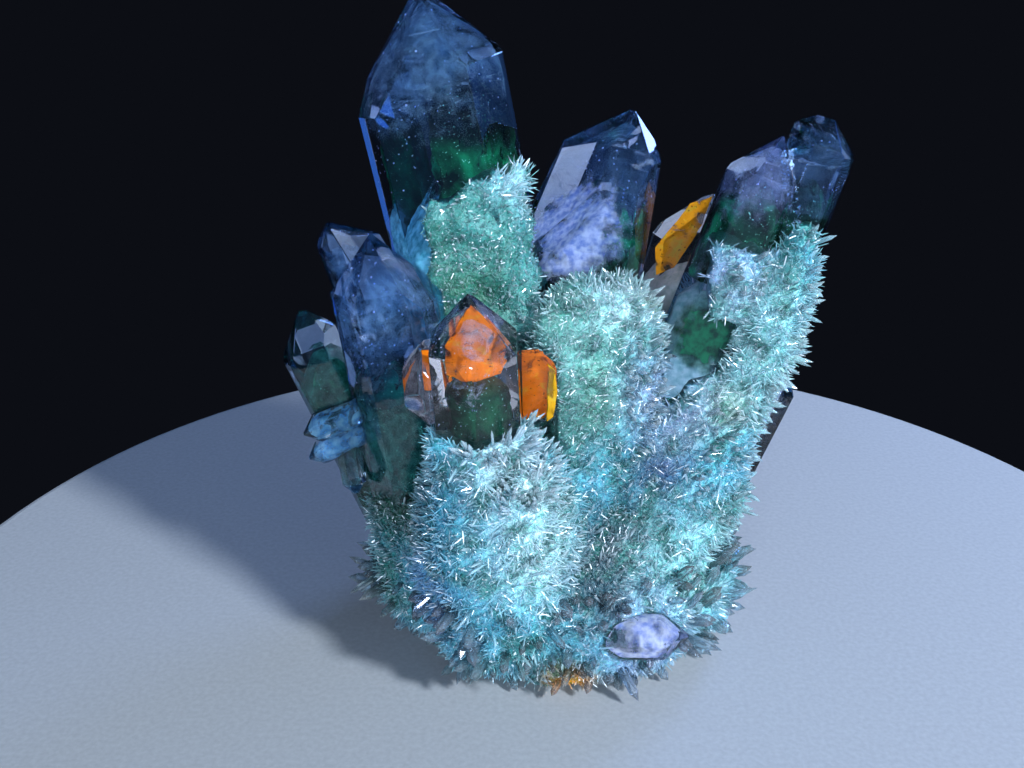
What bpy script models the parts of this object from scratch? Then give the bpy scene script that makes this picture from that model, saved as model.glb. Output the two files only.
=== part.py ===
"""Garden quartz cluster, about 100 mm tall: clear points grown together out of a druse of fine needles.

Run with: blender --background --python part.py. Metres, +Z up, the origin at the middle of the flat
underside. Everything in the cluster grew into everything else, so it is one solid.
"""

import math
import random

import bmesh
import bpy
from mathutils import Matrix, Vector, noise
from mathutils.bvhtree import BVHTree

MM = 0.001
NODE_NAME = "quartz_cluster"

# Quartz has six sides, and the pyramid faces of its tip lean 51.8 degrees from the long axis.
SIDES = 6
TIP_FACE_LEAN = math.radians(51.8)

# The clear points: foot and apex of the long axis, the turn about it in degrees, how far each of the six
# side faces stands from it, and how far each of the six tip faces is cut below a regular pyramid. All in
# millimetres. With no turn the faces look to the front, front right, back right, back, back left and
# front left, in that order.
POINTS = {
    "tall_point": dict(
        foot=(-5.2, 6, 8), apex=(-24.2, 5, 103.3), turn=0,
        sides=(9.5, 10.3, 9.6, 9.5, 7.4, 11.5), cuts=(0.2, 0, 0, 0.6, 3.2, 3.0),
    ),
    "centre_point": dict(
        foot=(-3.6, 9, 8), apex=(5.6, 9, 89.4), turn=0,
        sides=(8.5, 9.6, 7.3, 8.5, 7.4, 11.6), cuts=(5.5, 0, 0, 4.1, 1.0, 10.7),
    ),
    "amber_back_point": dict(
        foot=(8, 12, 12), apex=(22.8, 14, 71.2), turn=-10,
        sides=(5.0, 6.5, 5.0, 5.0, 5.5, 5.6), cuts=(1, 0, 0, 1, 1.5, 3),
    ),
    "leaning_point": dict(
        foot=(3, -9, 6), apex=(31.0, 2, 81.6), turn=0,
        sides=(5.2, 5.4, 4.6, 5.2, 4.8, 5.6), cuts=(0.6, 0, 0, 0.6, 0.8, 0.8),
    ),
    "leaning_twin": dict(
        foot=(17.9, -1, 12), apex=(39.7, 3, 87.1), turn=0,
        sides=(4.5, 4.2, 5.0, 4.5, 4.8, 4.7), cuts=(2.4, 3.5, 0, 5.6, 0, 0),
    ),
    "left_point": dict(
        foot=(-21, -4, 6), apex=(-29.2, -5, 69.9), turn=8,
        sides=(7.0, 7.6, 7.0, 7.0, 6.8, 7.4), cuts=(0.5, 2.5, 2.5, 0, 1, 0),
    ),
    "left_back_point": dict(
        foot=(-20, 5, 14), apex=(-35.9, 4, 70.9), turn=0,
        sides=(4.6, 5.9, 5.4, 4.6, 4.2, 4.8), cuts=(3.2, 6.2, 0.6, 2.4, 0, 0),
    ),
    "left_small_point": dict(
        foot=(-25, 0, 12), apex=(-41.7, -2, 55.6), turn=0,
        sides=(3.8, 3.6, 3.4, 3.8, 4.8, 5.6), cuts=(1, 0, 0, 0.5, 0, 0),
    ),
    "left_stub": dict(
        foot=(-30, -5, 40.5), apex=(-42.0, -6.5, 36), turn=20,
        sides=(2.3, 2.0, 2.3, 2.0, 2.3, 2.0), cuts=(0, 0.3, 0, 0, 0.4, 0),
    ),
    "left_lower_stub": dict(
        foot=(-30, -5, 37), apex=(-41.3, -7, 32), turn=20,
        sides=(1.8, 1.7, 1.8, 1.7, 1.8, 1.7), cuts=(0, 0.3, 0, 0, 0.4, 0),
    ),
    "left_hanging_stub": dict(
        foot=(-35.4, -5, 37), apex=(-33.8, -7, 25.5), turn=0,
        sides=(1.7, 1.8, 1.7, 1.7, 1.7, 1.8), cuts=(0, 0.3, 0, 0, 0.4, 0),
    ),
    "front_point": dict(
        foot=(-12.0, -14, 8), apex=(-14.7, -21.5, 64.8), turn=30,
        sides=(6.2, 6.0, 6.2, 6.2, 6.0, 6.2), cuts=(0.4, 0.8, 0, 0.4, 0, 0),
    ),
    "front_side_point": dict(
        foot=(-20.6, -17.4, 42.4), apex=(-20.9, -18, 57.0), turn=30,
        sides=(3.4, 3.7, 3.2, 3.4, 3.6, 3.2), cuts=(0.5, 0, 0, 0.5, 0, 0), both_ends=True,
    ),
    "front_right_plate": dict(
        foot=(-5.2, -12, 36), apex=(-6.2, -16.5, 56.0), turn=0,
        sides=(1.8, 3.2, 2.6, 1.8, 2.2, 2.6), cuts=(2, 1, 1, 2, 0, 0),
    ),
    "right_small_point": dict(
        foot=(25.2, 2, 18), apex=(36.0, 4.5, 43.8), turn=15,
        sides=(3, 3.2, 3.2, 3, 3, 3), cuts=(0, 0.4, 0, 0, 0.5, 0),
    ),
    "lying_point": dict(
        foot=(2.6, -23.0, 10.0), apex=(18.0, -25.0, 11.5), turn=10,
        sides=(3.0, 3.2, 3.0, 3.0, 3.2, 3.0), cuts=(0, 0.3, 0, 0, 0.4, 0),
    ),
    "back_point": dict(
        foot=(-4, 12, 10), apex=(-9.5, 27, 60.0), turn=18,
        sides=(5.2, 5.4, 4.8, 5.2, 5.0, 5.4), cuts=(0, 1, 0, 0, 1.5, 0),
    ),
    "back_right_point": dict(
        foot=(8, 12, 10), apex=(16.0, 27, 49.0), turn=3,
        sides=(3.6, 4.2, 3.8, 3.6, 4.0, 3.8), cuts=(0, 0, 1, 0, 0, 0),
    ),
    "back_left_point": dict(
        foot=(-16, 10, 10), apex=(-27.0, 21, 47.0), turn=25,
        sides=(3.4, 4.0, 3.6, 3.4, 3.6, 3.8), cuts=(0, 0.6, 0, 0, 0, 1),
    ),
}
# Half the width of the block that each point is cut from.
BLANK_HALF_WIDTH = 20.0
# Corners closer than this are one corner, and faces flatter than this are one face.
SLIVER = 0.01
FLAT = math.radians(0.5)

# The druse that buries the lower ends: rounded masses, as centre, radii and lean to the right, in mm
# and degrees.
MASSES = {
    "base_mass": dict(centre=(0, -2, 9), radii=(27.5, 24, 16), lean=0),
    "front_mound": dict(centre=(-11, -15, 21), radii=(13, 14, 23), lean=-3),
    "middle_mound": dict(centre=(2.5, -3.5, 38), radii=(13.5, 11, 24), lean=8),
    "right_foot": dict(centre=(15.5, -4, 25), radii=(12, 11.5, 24), lean=20),
    "right_column": dict(centre=(28, -1, 48), radii=(5.8, 9.5, 27), lean=19.5),
    "tall_point_skirt": dict(centre=(-11.5, 3, 42), radii=(12.2, 11, 26), lean=-11),
    "tall_point_collar": dict(centre=(-14.3, -1.2, 57), radii=(10, 5, 20.5), lean=-11),
    "back_mass": dict(centre=(-3, 11, 24), radii=(19, 13, 24), lean=0),
    "left_mass": dict(centre=(-22, -4, 15), radii=(10, 13, 17), lean=-10),
}
# How far the lumps of a mass stand out, and how wide they are.
MASS_LUMP = 1.3
MASS_LUMP_SPACING = 9.0

# The spines that stand out of the druse: how many, their sides, length, width, how far they lean from
# the surface, the lowest and highest place of a root, and the least distance between two roots.
SPINE_SETS = {
    "needles": dict(
        count=208, sides=4, length=(3.2, 5.2), width=(1.1, 1.7), lean=28, low=5, high=80, spacing=3.4,
    ),
    "rim_prisms": dict(
        count=46, sides=6, length=(5.0, 8.0), width=(2.2, 3.2), lean=24, low=0.5, high=17, spacing=4.6,
    ),
}
# How deep a spine is rooted, in mm, and the height of its tip as a share of its width.
SPINE_ROOT = 1.5
SPINE_TIP_SHARE = 1.1

FLOOR_BLOCK = 200.0
SEED = 11

SOLIDS = "quartz cluster"
HELPERS = "shapes joined into the cluster"


def clear_scene():
    """Remove every object and collection that the session opened with."""
    for obj in list(bpy.data.objects):
        bpy.data.objects.remove(obj, do_unlink=True)
    for collection in list(bpy.data.collections):
        bpy.data.collections.remove(collection)


def new_collection(name):
    """Add an empty collection to the scene."""
    collection = bpy.data.collections.new(name)
    bpy.context.scene.collection.children.link(collection)
    return collection


def add_helper(name, bm, collection):
    """Turn a bmesh into an object that is left out of renders and drawn as wire."""
    bmesh.ops.recalc_face_normals(bm, faces=bm.faces)
    mesh = bpy.data.meshes.new(name)
    bm.to_mesh(mesh)
    bm.free()
    obj = bpy.data.objects.new(name, mesh)
    collection.objects.link(obj)
    obj.hide_render = True
    obj.display_type = "WIRE"
    return obj


def along(foot, apex):
    """The shortest turn of the Z axis onto foot to apex, as a matrix with its origin at the foot."""
    turn = Vector((0, 0, 1)).rotation_difference(apex - foot).to_matrix().to_4x4()
    return Matrix.Translation(foot) @ turn


def cut_off(bm, place, normal):
    """Cut away what lies beyond a plane and close the cut with a flat face."""
    geometry = bm.verts[:] + bm.edges[:] + bm.faces[:]
    result = bmesh.ops.bisect_plane(bm, geom=geometry, plane_co=place, plane_no=normal, clear_outer=True)
    rim = [item for item in result["geom_cut"] if isinstance(item, bmesh.types.BMEdge)]
    if rim:
        bmesh.ops.holes_fill(bm, edges=rim, sides=0)


def hull_of(bm):
    """The convex solid on the corners of bm, which closes what a cut through a corner leaves open."""
    hull = bmesh.new()
    for vert in bm.verts:
        hull.verts.new(vert.co)
    bm.free()
    bmesh.ops.remove_doubles(hull, verts=hull.verts, dist=SLIVER * MM)
    result = bmesh.ops.convex_hull(hull, input=hull.verts)
    unused = result["geom_interior"] + result["geom_unused"]
    spare = [item for item in unused if isinstance(item, bmesh.types.BMVert)]
    bmesh.ops.delete(hull, geom=spare, context="VERTS")
    bmesh.ops.dissolve_limit(hull, angle_limit=FLAT, verts=hull.verts, edges=hull.edges)
    return hull


def quartz_point(name, collection, foot, apex, turn, sides, cuts, both_ends=False):
    """One clear point: six side faces and six tip faces, cut from a block; a few have a tip at each end."""
    foot, apex = Vector(foot) * MM, Vector(apex) * MM
    length = (apex - foot).length
    bm = bmesh.new()
    half = BLANK_HALF_WIDTH * MM
    block = Matrix.Translation((0, 0, length / 2)) @ Matrix.Diagonal((half, half, length / 2, 1))
    bmesh.ops.create_cube(bm, size=2.0, matrix=block)
    for number, (side, cut) in enumerate(zip(sides, cuts)):
        angle = math.radians(turn - 90) + number * math.tau / SIDES
        across = Vector((math.cos(angle), math.sin(angle), 0))
        cut_off(bm, across * side * MM, across)
        sloping = across * math.sin(TIP_FACE_LEAN)
        rise = Vector((0, 0, math.cos(TIP_FACE_LEAN)))
        cut_off(bm, Vector((0, 0, length - cut * MM)), sloping + rise)
        if both_ends:
            cut_off(bm, Vector((0, 0, cut * MM)), sloping - rise)
    bm = hull_of(bm)
    bmesh.ops.transform(bm, matrix=along(foot, apex), verts=bm.verts)
    return add_helper(name, bm, collection)


def druse_mass(name, collection, centre, radii, lean):
    """One rounded mass of druse, lumpy as intergrown crystals are."""
    bm = bmesh.new()
    bmesh.ops.create_icosphere(bm, subdivisions=3, radius=1.0)
    stretch = Matrix.Diagonal((*(Vector(radii) * MM), 1))
    place = Matrix.Translation(Vector(centre) * MM) @ Matrix.Rotation(math.radians(lean), 4, "Y") @ stretch
    bmesh.ops.transform(bm, matrix=place, verts=bm.verts)
    middle = Vector(centre) * MM
    for vert in bm.verts:
        lump = noise.noise(vert.co / (MASS_LUMP_SPACING * MM)) * MASS_LUMP * MM
        vert.co += (vert.co - middle).normalized() * lump
    return add_helper(name, bm, collection)


def boolean(obj, operation, operand):
    """Add an exact Boolean with one object or with all the objects of a collection."""
    modifier = obj.modifiers.new(operation.lower(), "BOOLEAN")
    modifier.operation = operation
    modifier.solver = "EXACT"
    if isinstance(operand, bpy.types.Collection):
        modifier.operand_type = "COLLECTION"
        modifier.collection = operand
    else:
        modifier.object = operand
    return modifier


def evaluated_bmesh(obj):
    """A bmesh of the object with its modifiers, in triangles."""
    bpy.context.view_layer.update()
    evaluated = obj.evaluated_get(bpy.context.evaluated_depsgraph_get())
    bm = bmesh.new()
    bm.from_mesh(evaluated.to_mesh())
    evaluated.to_mesh_clear()
    bmesh.ops.triangulate(bm, faces=bm.faces)
    return bm


def inside_of(points):
    """A test of whether a place lies inside one of the clear points, or within half a millimetre of one."""
    trees = []
    for obj in points:
        bm = bmesh.new()
        bm.from_mesh(obj.data)
        trees.append(BVHTree.FromBMesh(bm))
        bm.free()

    def test(place):
        for tree in trees:
            near, normal, _, _ = tree.find_nearest(place)
            if (place - near).dot(normal) < 0.5 * MM:
                return True
        return False

    return test


def surface_sites(bm, count, spacing, low, high, blocked, rng):
    """Places on the druse, at least spacing apart and between two heights, each with its outward normal."""
    faces = [f for f in bm.faces if f.calc_area() > 0]
    weights = [f.calc_area() for f in faces]
    sites = []
    for face in rng.choices(faces, weights=weights, k=count * 40):
        a, b = sorted((rng.random(), rng.random()))
        corners = [v.co for v in face.verts]
        place = corners[0] * a + corners[1] * (b - a) + corners[2] * (1 - b)
        if not low * MM < place.z < high * MM or face.normal.z < -0.75 or blocked(place):
            continue
        if all((place - other).length > spacing * MM for other, _ in sites):
            sites.append((place, face.normal.copy()))
        if len(sites) == count:
            break
    return sites


def spine(bm, sides, place, normal, length, width, lean, rng):
    """Add one small quartz crystal to bm, rooted under the surface and leaning a little from its normal."""
    sideways = Vector((rng.gauss(0, 1), rng.gauss(0, 1), rng.gauss(0, 1))).cross(normal).normalized()
    direction = (normal + sideways * math.tan(lean)).normalized()
    foot = place - direction * SPINE_ROOT * MM
    straight = length + SPINE_ROOT * MM - width * SPINE_TIP_SHARE
    stand = along(foot, foot + direction) @ Matrix.Rotation(rng.uniform(0, math.tau), 4, "Z")
    made = bmesh.ops.create_cone(
        bm, cap_ends=True, segments=sides, radius1=width / 2, radius2=width / 2, depth=straight,
        matrix=stand @ Matrix.Translation((0, 0, straight / 2)),
    )
    end = max(
        {face for vert in made["verts"] for face in vert.link_faces if len(face.verts) == sides},
        key=lambda face: face.calc_center_median().dot(direction),
    )
    tip = bmesh.ops.poke(bm, faces=[end])["verts"][0]
    tip.co += direction * width * SPINE_TIP_SHARE


def spines(name, collection, sites, look, rng):
    """All the spines of one set, in one helper object."""
    bm = bmesh.new()
    for place, normal in sites:
        lean = math.radians(look["lean"]) * math.sqrt(rng.random())
        length = rng.uniform(*look["length"]) * MM
        width = rng.uniform(*look["width"]) * MM
        spine(bm, look["sides"], place, normal, length, width, lean, rng)
    return add_helper(name, bm, collection)


def keep_outer_skin(bm):
    """Delete every shell but the largest: hollows that a union seals inside, and chips of the cut."""
    shells, seen = [], set()
    for start in bm.faces:
        if start in seen:
            continue
        shell, queue = [], [start]
        seen.add(start)
        while queue:
            face = queue.pop()
            shell.append(face)
            for edge in face.edges:
                for near in edge.link_faces:
                    if near not in seen:
                        seen.add(near)
                        queue.append(near)
        shells.append(shell)
    shells.sort(key=lambda shell: sum(face.calc_area() for face in shell))
    extra = [face for shell in shells[:-1] for face in shell]
    bmesh.ops.delete(bm, geom=extra, context="FACES")


def quartz_material():
    """Pale sea-green quartz, glossy and a little see-through."""
    material = bpy.data.materials.new("drusy_quartz")
    material.use_nodes = True
    shader = material.node_tree.nodes["Principled BSDF"]
    shader.inputs["Base Color"].default_value = (0.42, 0.70, 0.70, 1)
    shader.inputs["Roughness"].default_value = 0.18
    shader.inputs["Metallic"].default_value = 0.0
    shader.inputs["IOR"].default_value = 1.544
    shader.inputs["Transmission Weight"].default_value = 0.3
    return material


def floor_cutter(collection):
    """The block below the resting plane, which cuts the underside flat."""
    bm = bmesh.new()
    size = FLOOR_BLOCK * MM
    bmesh.ops.create_cube(bm, size=size, matrix=Matrix.Translation((0, 0, -size / 2)))
    return add_helper("floor_cutter", bm, collection)


def build():
    clear_scene()
    solids = new_collection(SOLIDS)
    helpers = new_collection(HELPERS)
    masses = new_collection("druse masses")
    rng = random.Random(SEED)

    points = [quartz_point(name, helpers, **sizes) for name, sizes in POINTS.items()]
    first, *others = [druse_mass(name, masses, **sizes) for name, sizes in MASSES.items()]
    masses.objects.unlink(first)
    helpers.objects.link(first)
    boolean(first, "UNION", masses)
    druse = evaluated_bmesh(first)

    blocked = inside_of(points)
    for name, look in SPINE_SETS.items():
        sites = surface_sites(druse, look["count"], look["spacing"], look["low"], look["high"], blocked, rng)
        spines(name, helpers, sites, look, rng)
    helpers.objects.unlink(first)

    druse_mesh = bpy.data.meshes.new(NODE_NAME)
    druse.to_mesh(druse_mesh)
    druse.free()
    cluster = bpy.data.objects.new(NODE_NAME, druse_mesh)
    solids.objects.link(cluster)
    union = boolean(cluster, "UNION", helpers)
    union.use_self = True
    cutters = new_collection("cutters")
    boolean(cluster, "DIFFERENCE", floor_cutter(cutters))

    grown = evaluated_bmesh(cluster)
    keep_outer_skin(grown)
    cluster.modifiers.clear()
    grown.to_mesh(cluster.data)
    grown.free()
    cluster.data.materials.append(quartz_material())
    return cluster


build()
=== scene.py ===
"""Looks of the garden quartz cluster: clear six-sided points, what grew in them, and a druse of fine needles.

Metres, +Z up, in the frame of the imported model, with sizes in millimetres where they are read from a table
or a field. Everything rides on the one body, "root".
"""

import logging
import math
from collections.abc import Callable
from dataclasses import dataclass, field
from enum import Enum

import bmesh
import bpy
import numpy as np
from mathutils import Matrix, Vector, noise

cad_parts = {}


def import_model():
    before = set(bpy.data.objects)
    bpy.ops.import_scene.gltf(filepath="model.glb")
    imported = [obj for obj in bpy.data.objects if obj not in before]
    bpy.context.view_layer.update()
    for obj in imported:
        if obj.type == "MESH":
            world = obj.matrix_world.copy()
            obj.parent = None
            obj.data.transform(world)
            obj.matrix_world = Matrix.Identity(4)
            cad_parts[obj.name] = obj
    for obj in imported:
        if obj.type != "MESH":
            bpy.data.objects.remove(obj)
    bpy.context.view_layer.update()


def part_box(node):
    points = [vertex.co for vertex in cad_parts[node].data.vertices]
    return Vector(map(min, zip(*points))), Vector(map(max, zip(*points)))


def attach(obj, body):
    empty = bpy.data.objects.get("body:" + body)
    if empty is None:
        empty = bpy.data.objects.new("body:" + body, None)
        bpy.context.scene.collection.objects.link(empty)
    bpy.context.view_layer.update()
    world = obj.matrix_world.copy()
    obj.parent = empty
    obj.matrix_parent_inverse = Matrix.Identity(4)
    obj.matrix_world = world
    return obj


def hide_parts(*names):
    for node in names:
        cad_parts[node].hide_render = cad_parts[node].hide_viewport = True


MM = 0.001
BODY = "root"
CLUSTER_NODE = "quartz_cluster"
LOG = logging.getLogger("quartz")

# Quartz has six sides, and the pyramid faces of its tip lean 51.8 degrees from the long axis.
SIDES = 6
TIP_FACE_LEAN = math.radians(51.8)
QUARTZ_IOR = 1.544
SLIVER = 0.01 * MM
FLAT = math.radians(0.5)
# Noise vectors start from the clock's time unless they are given a seed.
NOISE_SEED = 11

# The names of the attributes that carry each small crystal's tint, which on the druse holds painted light and
# shade, and how far along it a corner lies.
TINT = "growth_tint"
HEIGHT = "growth_height"

Triple = tuple[float, float, float]
Slices = tuple[tuple[Triple, float], ...]
Plane = tuple[Vector, Vector]


class Slot(Enum):
    """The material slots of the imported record."""

    DRUSE = "drusy_quartz"
    CLEAR = "clear_quartz"
    CHLORITE = "chlorite_phantom"
    MILKY = "milky_veil"
    IRON = "iron_stain"


class Shape(Enum):
    """The small repeated crystals, by the form of one of them."""

    NEEDLE = "four-sided needle"
    PRISM = "six-sided prism"
    FLAKE = "thin four-cornered flake"


# Colours, nodes and finishes


def linear(hex_colour: str) -> tuple[float, float, float, float]:
    """Turn an sRGB hex colour into the linear values that the nodes take.

    Args:
        hex_colour: Six hex digits, with or without a leading hash.

    Returns:
        Linear red, green and blue, and an alpha of 1.
    """
    digits = hex_colour.lstrip("#")
    parts = [int(digits[i : i + 2], 16) / 255 for i in (0, 2, 4)]
    red, green, blue = (p / 12.92 if p <= 0.04045 else ((p + 0.055) / 1.055) ** 2.4 for p in parts)
    return red, green, blue, 1.0


def add_node(
    tree: bpy.types.NodeTree, kind: str, settings: dict | None = None, links: dict | None = None,
) -> bpy.types.Node:
    """Add a node, set its properties and sockets, and link its inputs.

    Args:
        tree: The node tree that gets it.
        kind: The node's type name.
        settings: Values by property name, or else by input name or number.
        links: Output sockets by input name or number.

    Returns:
        The new node.
    """
    node = tree.nodes.new(kind)
    for name, value in (settings or {}).items():
        if isinstance(name, str) and hasattr(node, name):
            setattr(node, name, value)
        else:
            node.inputs[name].default_value = value
    for name, socket in (links or {}).items():
        tree.links.new(socket, node.inputs[name])
    return node


def ramp(
    tree: bpy.types.NodeTree, factor: bpy.types.NodeSocket, stops: list[tuple[float, str]],
) -> bpy.types.NodeSocket:
    """Add a colour ramp through hex colours.

    Args:
        tree: The node tree that gets it.
        factor: What drives the ramp.
        stops: Places from 0 to 1, each with its colour.

    Returns:
        The ramp's colour output.
    """
    node = add_node(tree, "ShaderNodeValToRGB", links={"Fac": factor})
    elements = node.color_ramp.elements
    while len(elements) < len(stops):
        elements.new(0.5)
    for element, (place, colour) in zip(elements, stops):
        element.position = place
        element.color = linear(colour)
    return node.outputs["Color"]


# How ragged the edge of a soft patch is, how wide its rags are, and between which shares of its reach, rags
# and all, it fades.
PATCH_RAGGED = 0.9
PATCH_RAG_MM = 2.0
PATCH_FADE = (0.9, 1.45)


@dataclass(frozen=True)
class Finish:
    """A material that is built once, under its own name."""

    name: str

    def material(self) -> bpy.types.Material:
        """Give the material, made the first time that it is asked for.

        Returns:
            The material of the finish's name.
        """
        made = bpy.data.materials.get(self.name)
        if made is None:
            made = bpy.data.materials.new(self.name)
            made.use_nodes = True
            made.node_tree.nodes.clear()
            self.build(made.node_tree)
        return made

    def build(self, tree: bpy.types.NodeTree) -> None:
        """Draw the finish.

        Args:
            tree: The material's empty node tree.
        """
        raise NotImplementedError

    @staticmethod
    def grain(tree: bpy.types.NodeTree, size_mm: float, detail: float = 3.0, stretch: Triple = (1, 1, 1),
              turn: Triple = (0, 0, 0), distortion: float = 0.0) -> bpy.types.NodeSocket:
        """Add a noise pattern on the object's own coordinates.

        Args:
            tree: The node tree that gets it.
            size_mm: The real size of one patch of the pattern.
            detail: How many finer layers lie over it.
            stretch: How much finer the pattern is along each axis.
            turn: How the pattern is turned, as XYZ angles.
            distortion: How far the pattern is stirred.

        Returns:
            The pattern's value, from 0 to 1.
        """
        place = add_node(tree, "ShaderNodeTexCoord").outputs["Object"]
        mapped = add_node(tree, "ShaderNodeMapping", {"Scale": stretch, "Rotation": turn}, {"Vector": place})
        pattern = add_node(
            tree, "ShaderNodeTexNoise",
            {"Scale": 1 / (size_mm * MM), "Detail": detail, "Distortion": distortion},
            {"Vector": mapped.outputs["Vector"]},
        )
        return pattern.outputs["Fac"]

    @classmethod
    def patch(cls, tree: bpy.types.NodeTree, centre: Triple, reach: Triple) -> bpy.types.NodeSocket:
        """Add a soft ragged patch around a centre.

        Args:
            tree: The node tree that gets it.
            centre: Its middle, in mm.
            reach: How far it goes along each axis, in mm.

        Returns:
            1 inside the patch, falling to 0 at its edge.
        """
        place = add_node(tree, "ShaderNodeTexCoord").outputs["Object"]
        away = add_node(
            tree, "ShaderNodeVectorMath", {"operation": "SUBTRACT", 1: Vector(centre) * MM}, {0: place},
        )
        shares = add_node(
            tree, "ShaderNodeVectorMath", {"operation": "DIVIDE", 1: Vector(reach) * MM},
            {0: away.outputs[0]},
        )
        far = add_node(tree, "ShaderNodeVectorMath", {"operation": "LENGTH"}, {0: shares.outputs[0]})
        ragged = add_node(
            tree, "ShaderNodeMath", {"operation": "MULTIPLY_ADD", 1: PATCH_RAGGED},
            {0: cls.grain(tree, PATCH_RAG_MM, 4.0), 2: far.outputs["Value"]},
        )
        soft = add_node(
            tree, "ShaderNodeMapRange",
            {
                "interpolation_type": "SMOOTHSTEP", "From Min": PATCH_FADE[0], "From Max": PATCH_FADE[1],
                "To Min": 1.0, "To Max": 0.0,
            },
            {"Value": ragged.outputs[0]},
        )
        return soft.outputs["Result"]


@dataclass(frozen=True)
class ClearQuartz(Finish):
    """Rock crystal with its natural growth faces.

    Glassy and see-through, with fine growth lines across the prism faces that bend what is seen through them.
    Absorption in its depth gives the blue, which is painted reflection of blue light.
    """

    axis: Triple = (0.0, 0.0, 1.0)
    body_colour: str = "F4F8FF"
    absorbs_to: str = "7FA6F2"
    absorbs_per_m: float = 26.0
    line_spacing_mm: float = 0.7
    wave_mm: float = 5.0
    wear_mm: float = 2.5
    relief_mm: float = 0.05

    def build(self, tree: bpy.types.NodeTree) -> None:
        """Draw the finish.

        Args:
            tree: The material's empty node tree.
        """
        lean = Vector(self.axis).rotation_difference(Vector((0, 0, 1))).to_euler()
        lines = self.grain(tree, self.line_spacing_mm, 2.0, (0.06, 0.06, 1.0), tuple(lean))
        waves = self.grain(tree, self.wave_mm, 1.0)
        relief = add_node(tree, "ShaderNodeMath", {"operation": "MULTIPLY_ADD", 1: 2.5}, {0: waves, 2: lines})
        bump = add_node(
            tree, "ShaderNodeBump", {"Strength": 0.05, "Distance": self.relief_mm * MM},
            {"Height": relief.outputs[0]},
        )
        wear = self.grain(tree, self.wear_mm, 4.0)
        gloss = add_node(
            tree, "ShaderNodeMapRange", {"From Min": 0.52, "From Max": 0.75, "To Min": 0.0, "To Max": 0.05},
            {"Value": wear},
        )
        shader = add_node(
            tree, "ShaderNodeBsdfPrincipled",
            {"Base Color": linear(self.body_colour), "IOR": QUARTZ_IOR, "Transmission Weight": 1.0},
            {"Normal": bump.outputs["Normal"], "Roughness": gloss.outputs["Result"]},
        )
        inside = add_node(
            tree, "ShaderNodeVolumeAbsorption",
            {"Color": linear(self.absorbs_to), "Density": self.absorbs_per_m},
        )
        add_node(
            tree, "ShaderNodeOutputMaterial",
            links={"Surface": shader.outputs[0], "Volume": inside.outputs[0]},
        )


@dataclass(frozen=True)
class Chlorite(Finish):
    """Chlorite, the moss-green mica that coats an earlier stage of the crystal.

    Dull and nearly black where it is thick, emerald where light gets in, with flecks painted silvery as
    glints. It turns to the crown's colour and thins out in streaks upwards, between the heights given in mm.
    """

    deep: str = "02140F"
    mid: str = "0A4634"
    bright: str = "128A5C"
    crown: str = ""
    crown_from: float = 0.0
    crown_to: float = 1.0
    thins_from: float = 0.0
    thins_to: float = 0.0
    patch_mm: float = 4.5
    fleck_mm: float = 0.35
    streak_mm: float = 1.8
    fleck_glint_colour: str = "9FE6D8"

    def build(self, tree: bpy.types.NodeTree) -> None:
        """Draw the finish.

        Args:
            tree: The material's empty node tree.
        """
        patches = self.grain(tree, self.patch_mm, 5.0, distortion=0.4)
        colour = ramp(tree, patches, [(0.38, self.deep), (0.55, self.mid), (0.7, self.bright)])
        if self.crown:
            rise = add_node(
                tree, "ShaderNodeMapRange",
                {"From Min": self.crown_from * MM, "From Max": self.crown_to * MM},
                {"Value": self.height(tree)},
            )
            crowned = add_node(
                tree, "ShaderNodeMix", {"data_type": "RGBA", 7: linear(self.crown)},
                {0: rise.outputs["Result"], 6: colour},
            )
            colour = crowned.outputs[2]
        # Painted glints: the flecks are coloured silvery, besides their relief.
        flecks = self.grain(tree, self.fleck_mm, 2.0)
        glint = add_node(tree, "ShaderNodeMapRange", {"From Min": 0.68, "From Max": 0.74}, {"Value": flecks})
        flecked = add_node(
            tree, "ShaderNodeMix", {"data_type": "RGBA", 7: linear(self.fleck_glint_colour)},
            {0: glint.outputs["Result"], 6: colour},
        )
        bump = add_node(tree, "ShaderNodeBump", {"Strength": 0.8, "Distance": 0.25 * MM}, {"Height": flecks})
        shader = add_node(
            tree, "ShaderNodeBsdfPrincipled", {"Roughness": 0.85, "Specular IOR Level": 0.1},
            {"Base Color": flecked.outputs[2], "Normal": bump.outputs["Normal"]},
        )
        if self.thins_to:
            tree.links.new(self.thinning(tree), shader.inputs["Alpha"])
        add_node(tree, "ShaderNodeOutputMaterial", links={"Surface": shader.outputs[0]})

    @staticmethod
    def height(tree: bpy.types.NodeTree) -> bpy.types.NodeSocket:
        """Add the height above the resting face, in metres."""
        place = add_node(tree, "ShaderNodeTexCoord").outputs["Object"]
        return add_node(tree, "ShaderNodeSeparateXYZ", links={0: place}).outputs["Z"]

    def thinning(self, tree: bpy.types.NodeTree) -> bpy.types.NodeSocket:
        """Add the streaks that the chlorite thins out in.

        Args:
            tree: The node tree that gets them.

        Returns:
            The alpha, from 1 below thins_from to 0 above thins_to.
        """
        level = add_node(
            tree, "ShaderNodeMapRange",
            {"From Min": self.thins_from * MM, "From Max": self.thins_to * MM, "To Min": 0.0, "To Max": -1.0},
            {"Value": self.height(tree)},
        )
        streaks = self.grain(tree, self.streak_mm, 4.0, (1.0, 1.0, 0.35), distortion=0.3)
        whole = add_node(
            tree, "ShaderNodeMath", {"operation": "MULTIPLY_ADD", 1: 2.2},
            {0: streaks, 2: level.outputs["Result"]},
        )
        alpha = add_node(
            tree, "ShaderNodeMapRange", {"From Min": 0.45, "From Max": 0.72}, {"Value": whole.outputs[0]},
        )
        return alpha.outputs["Result"]


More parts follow.
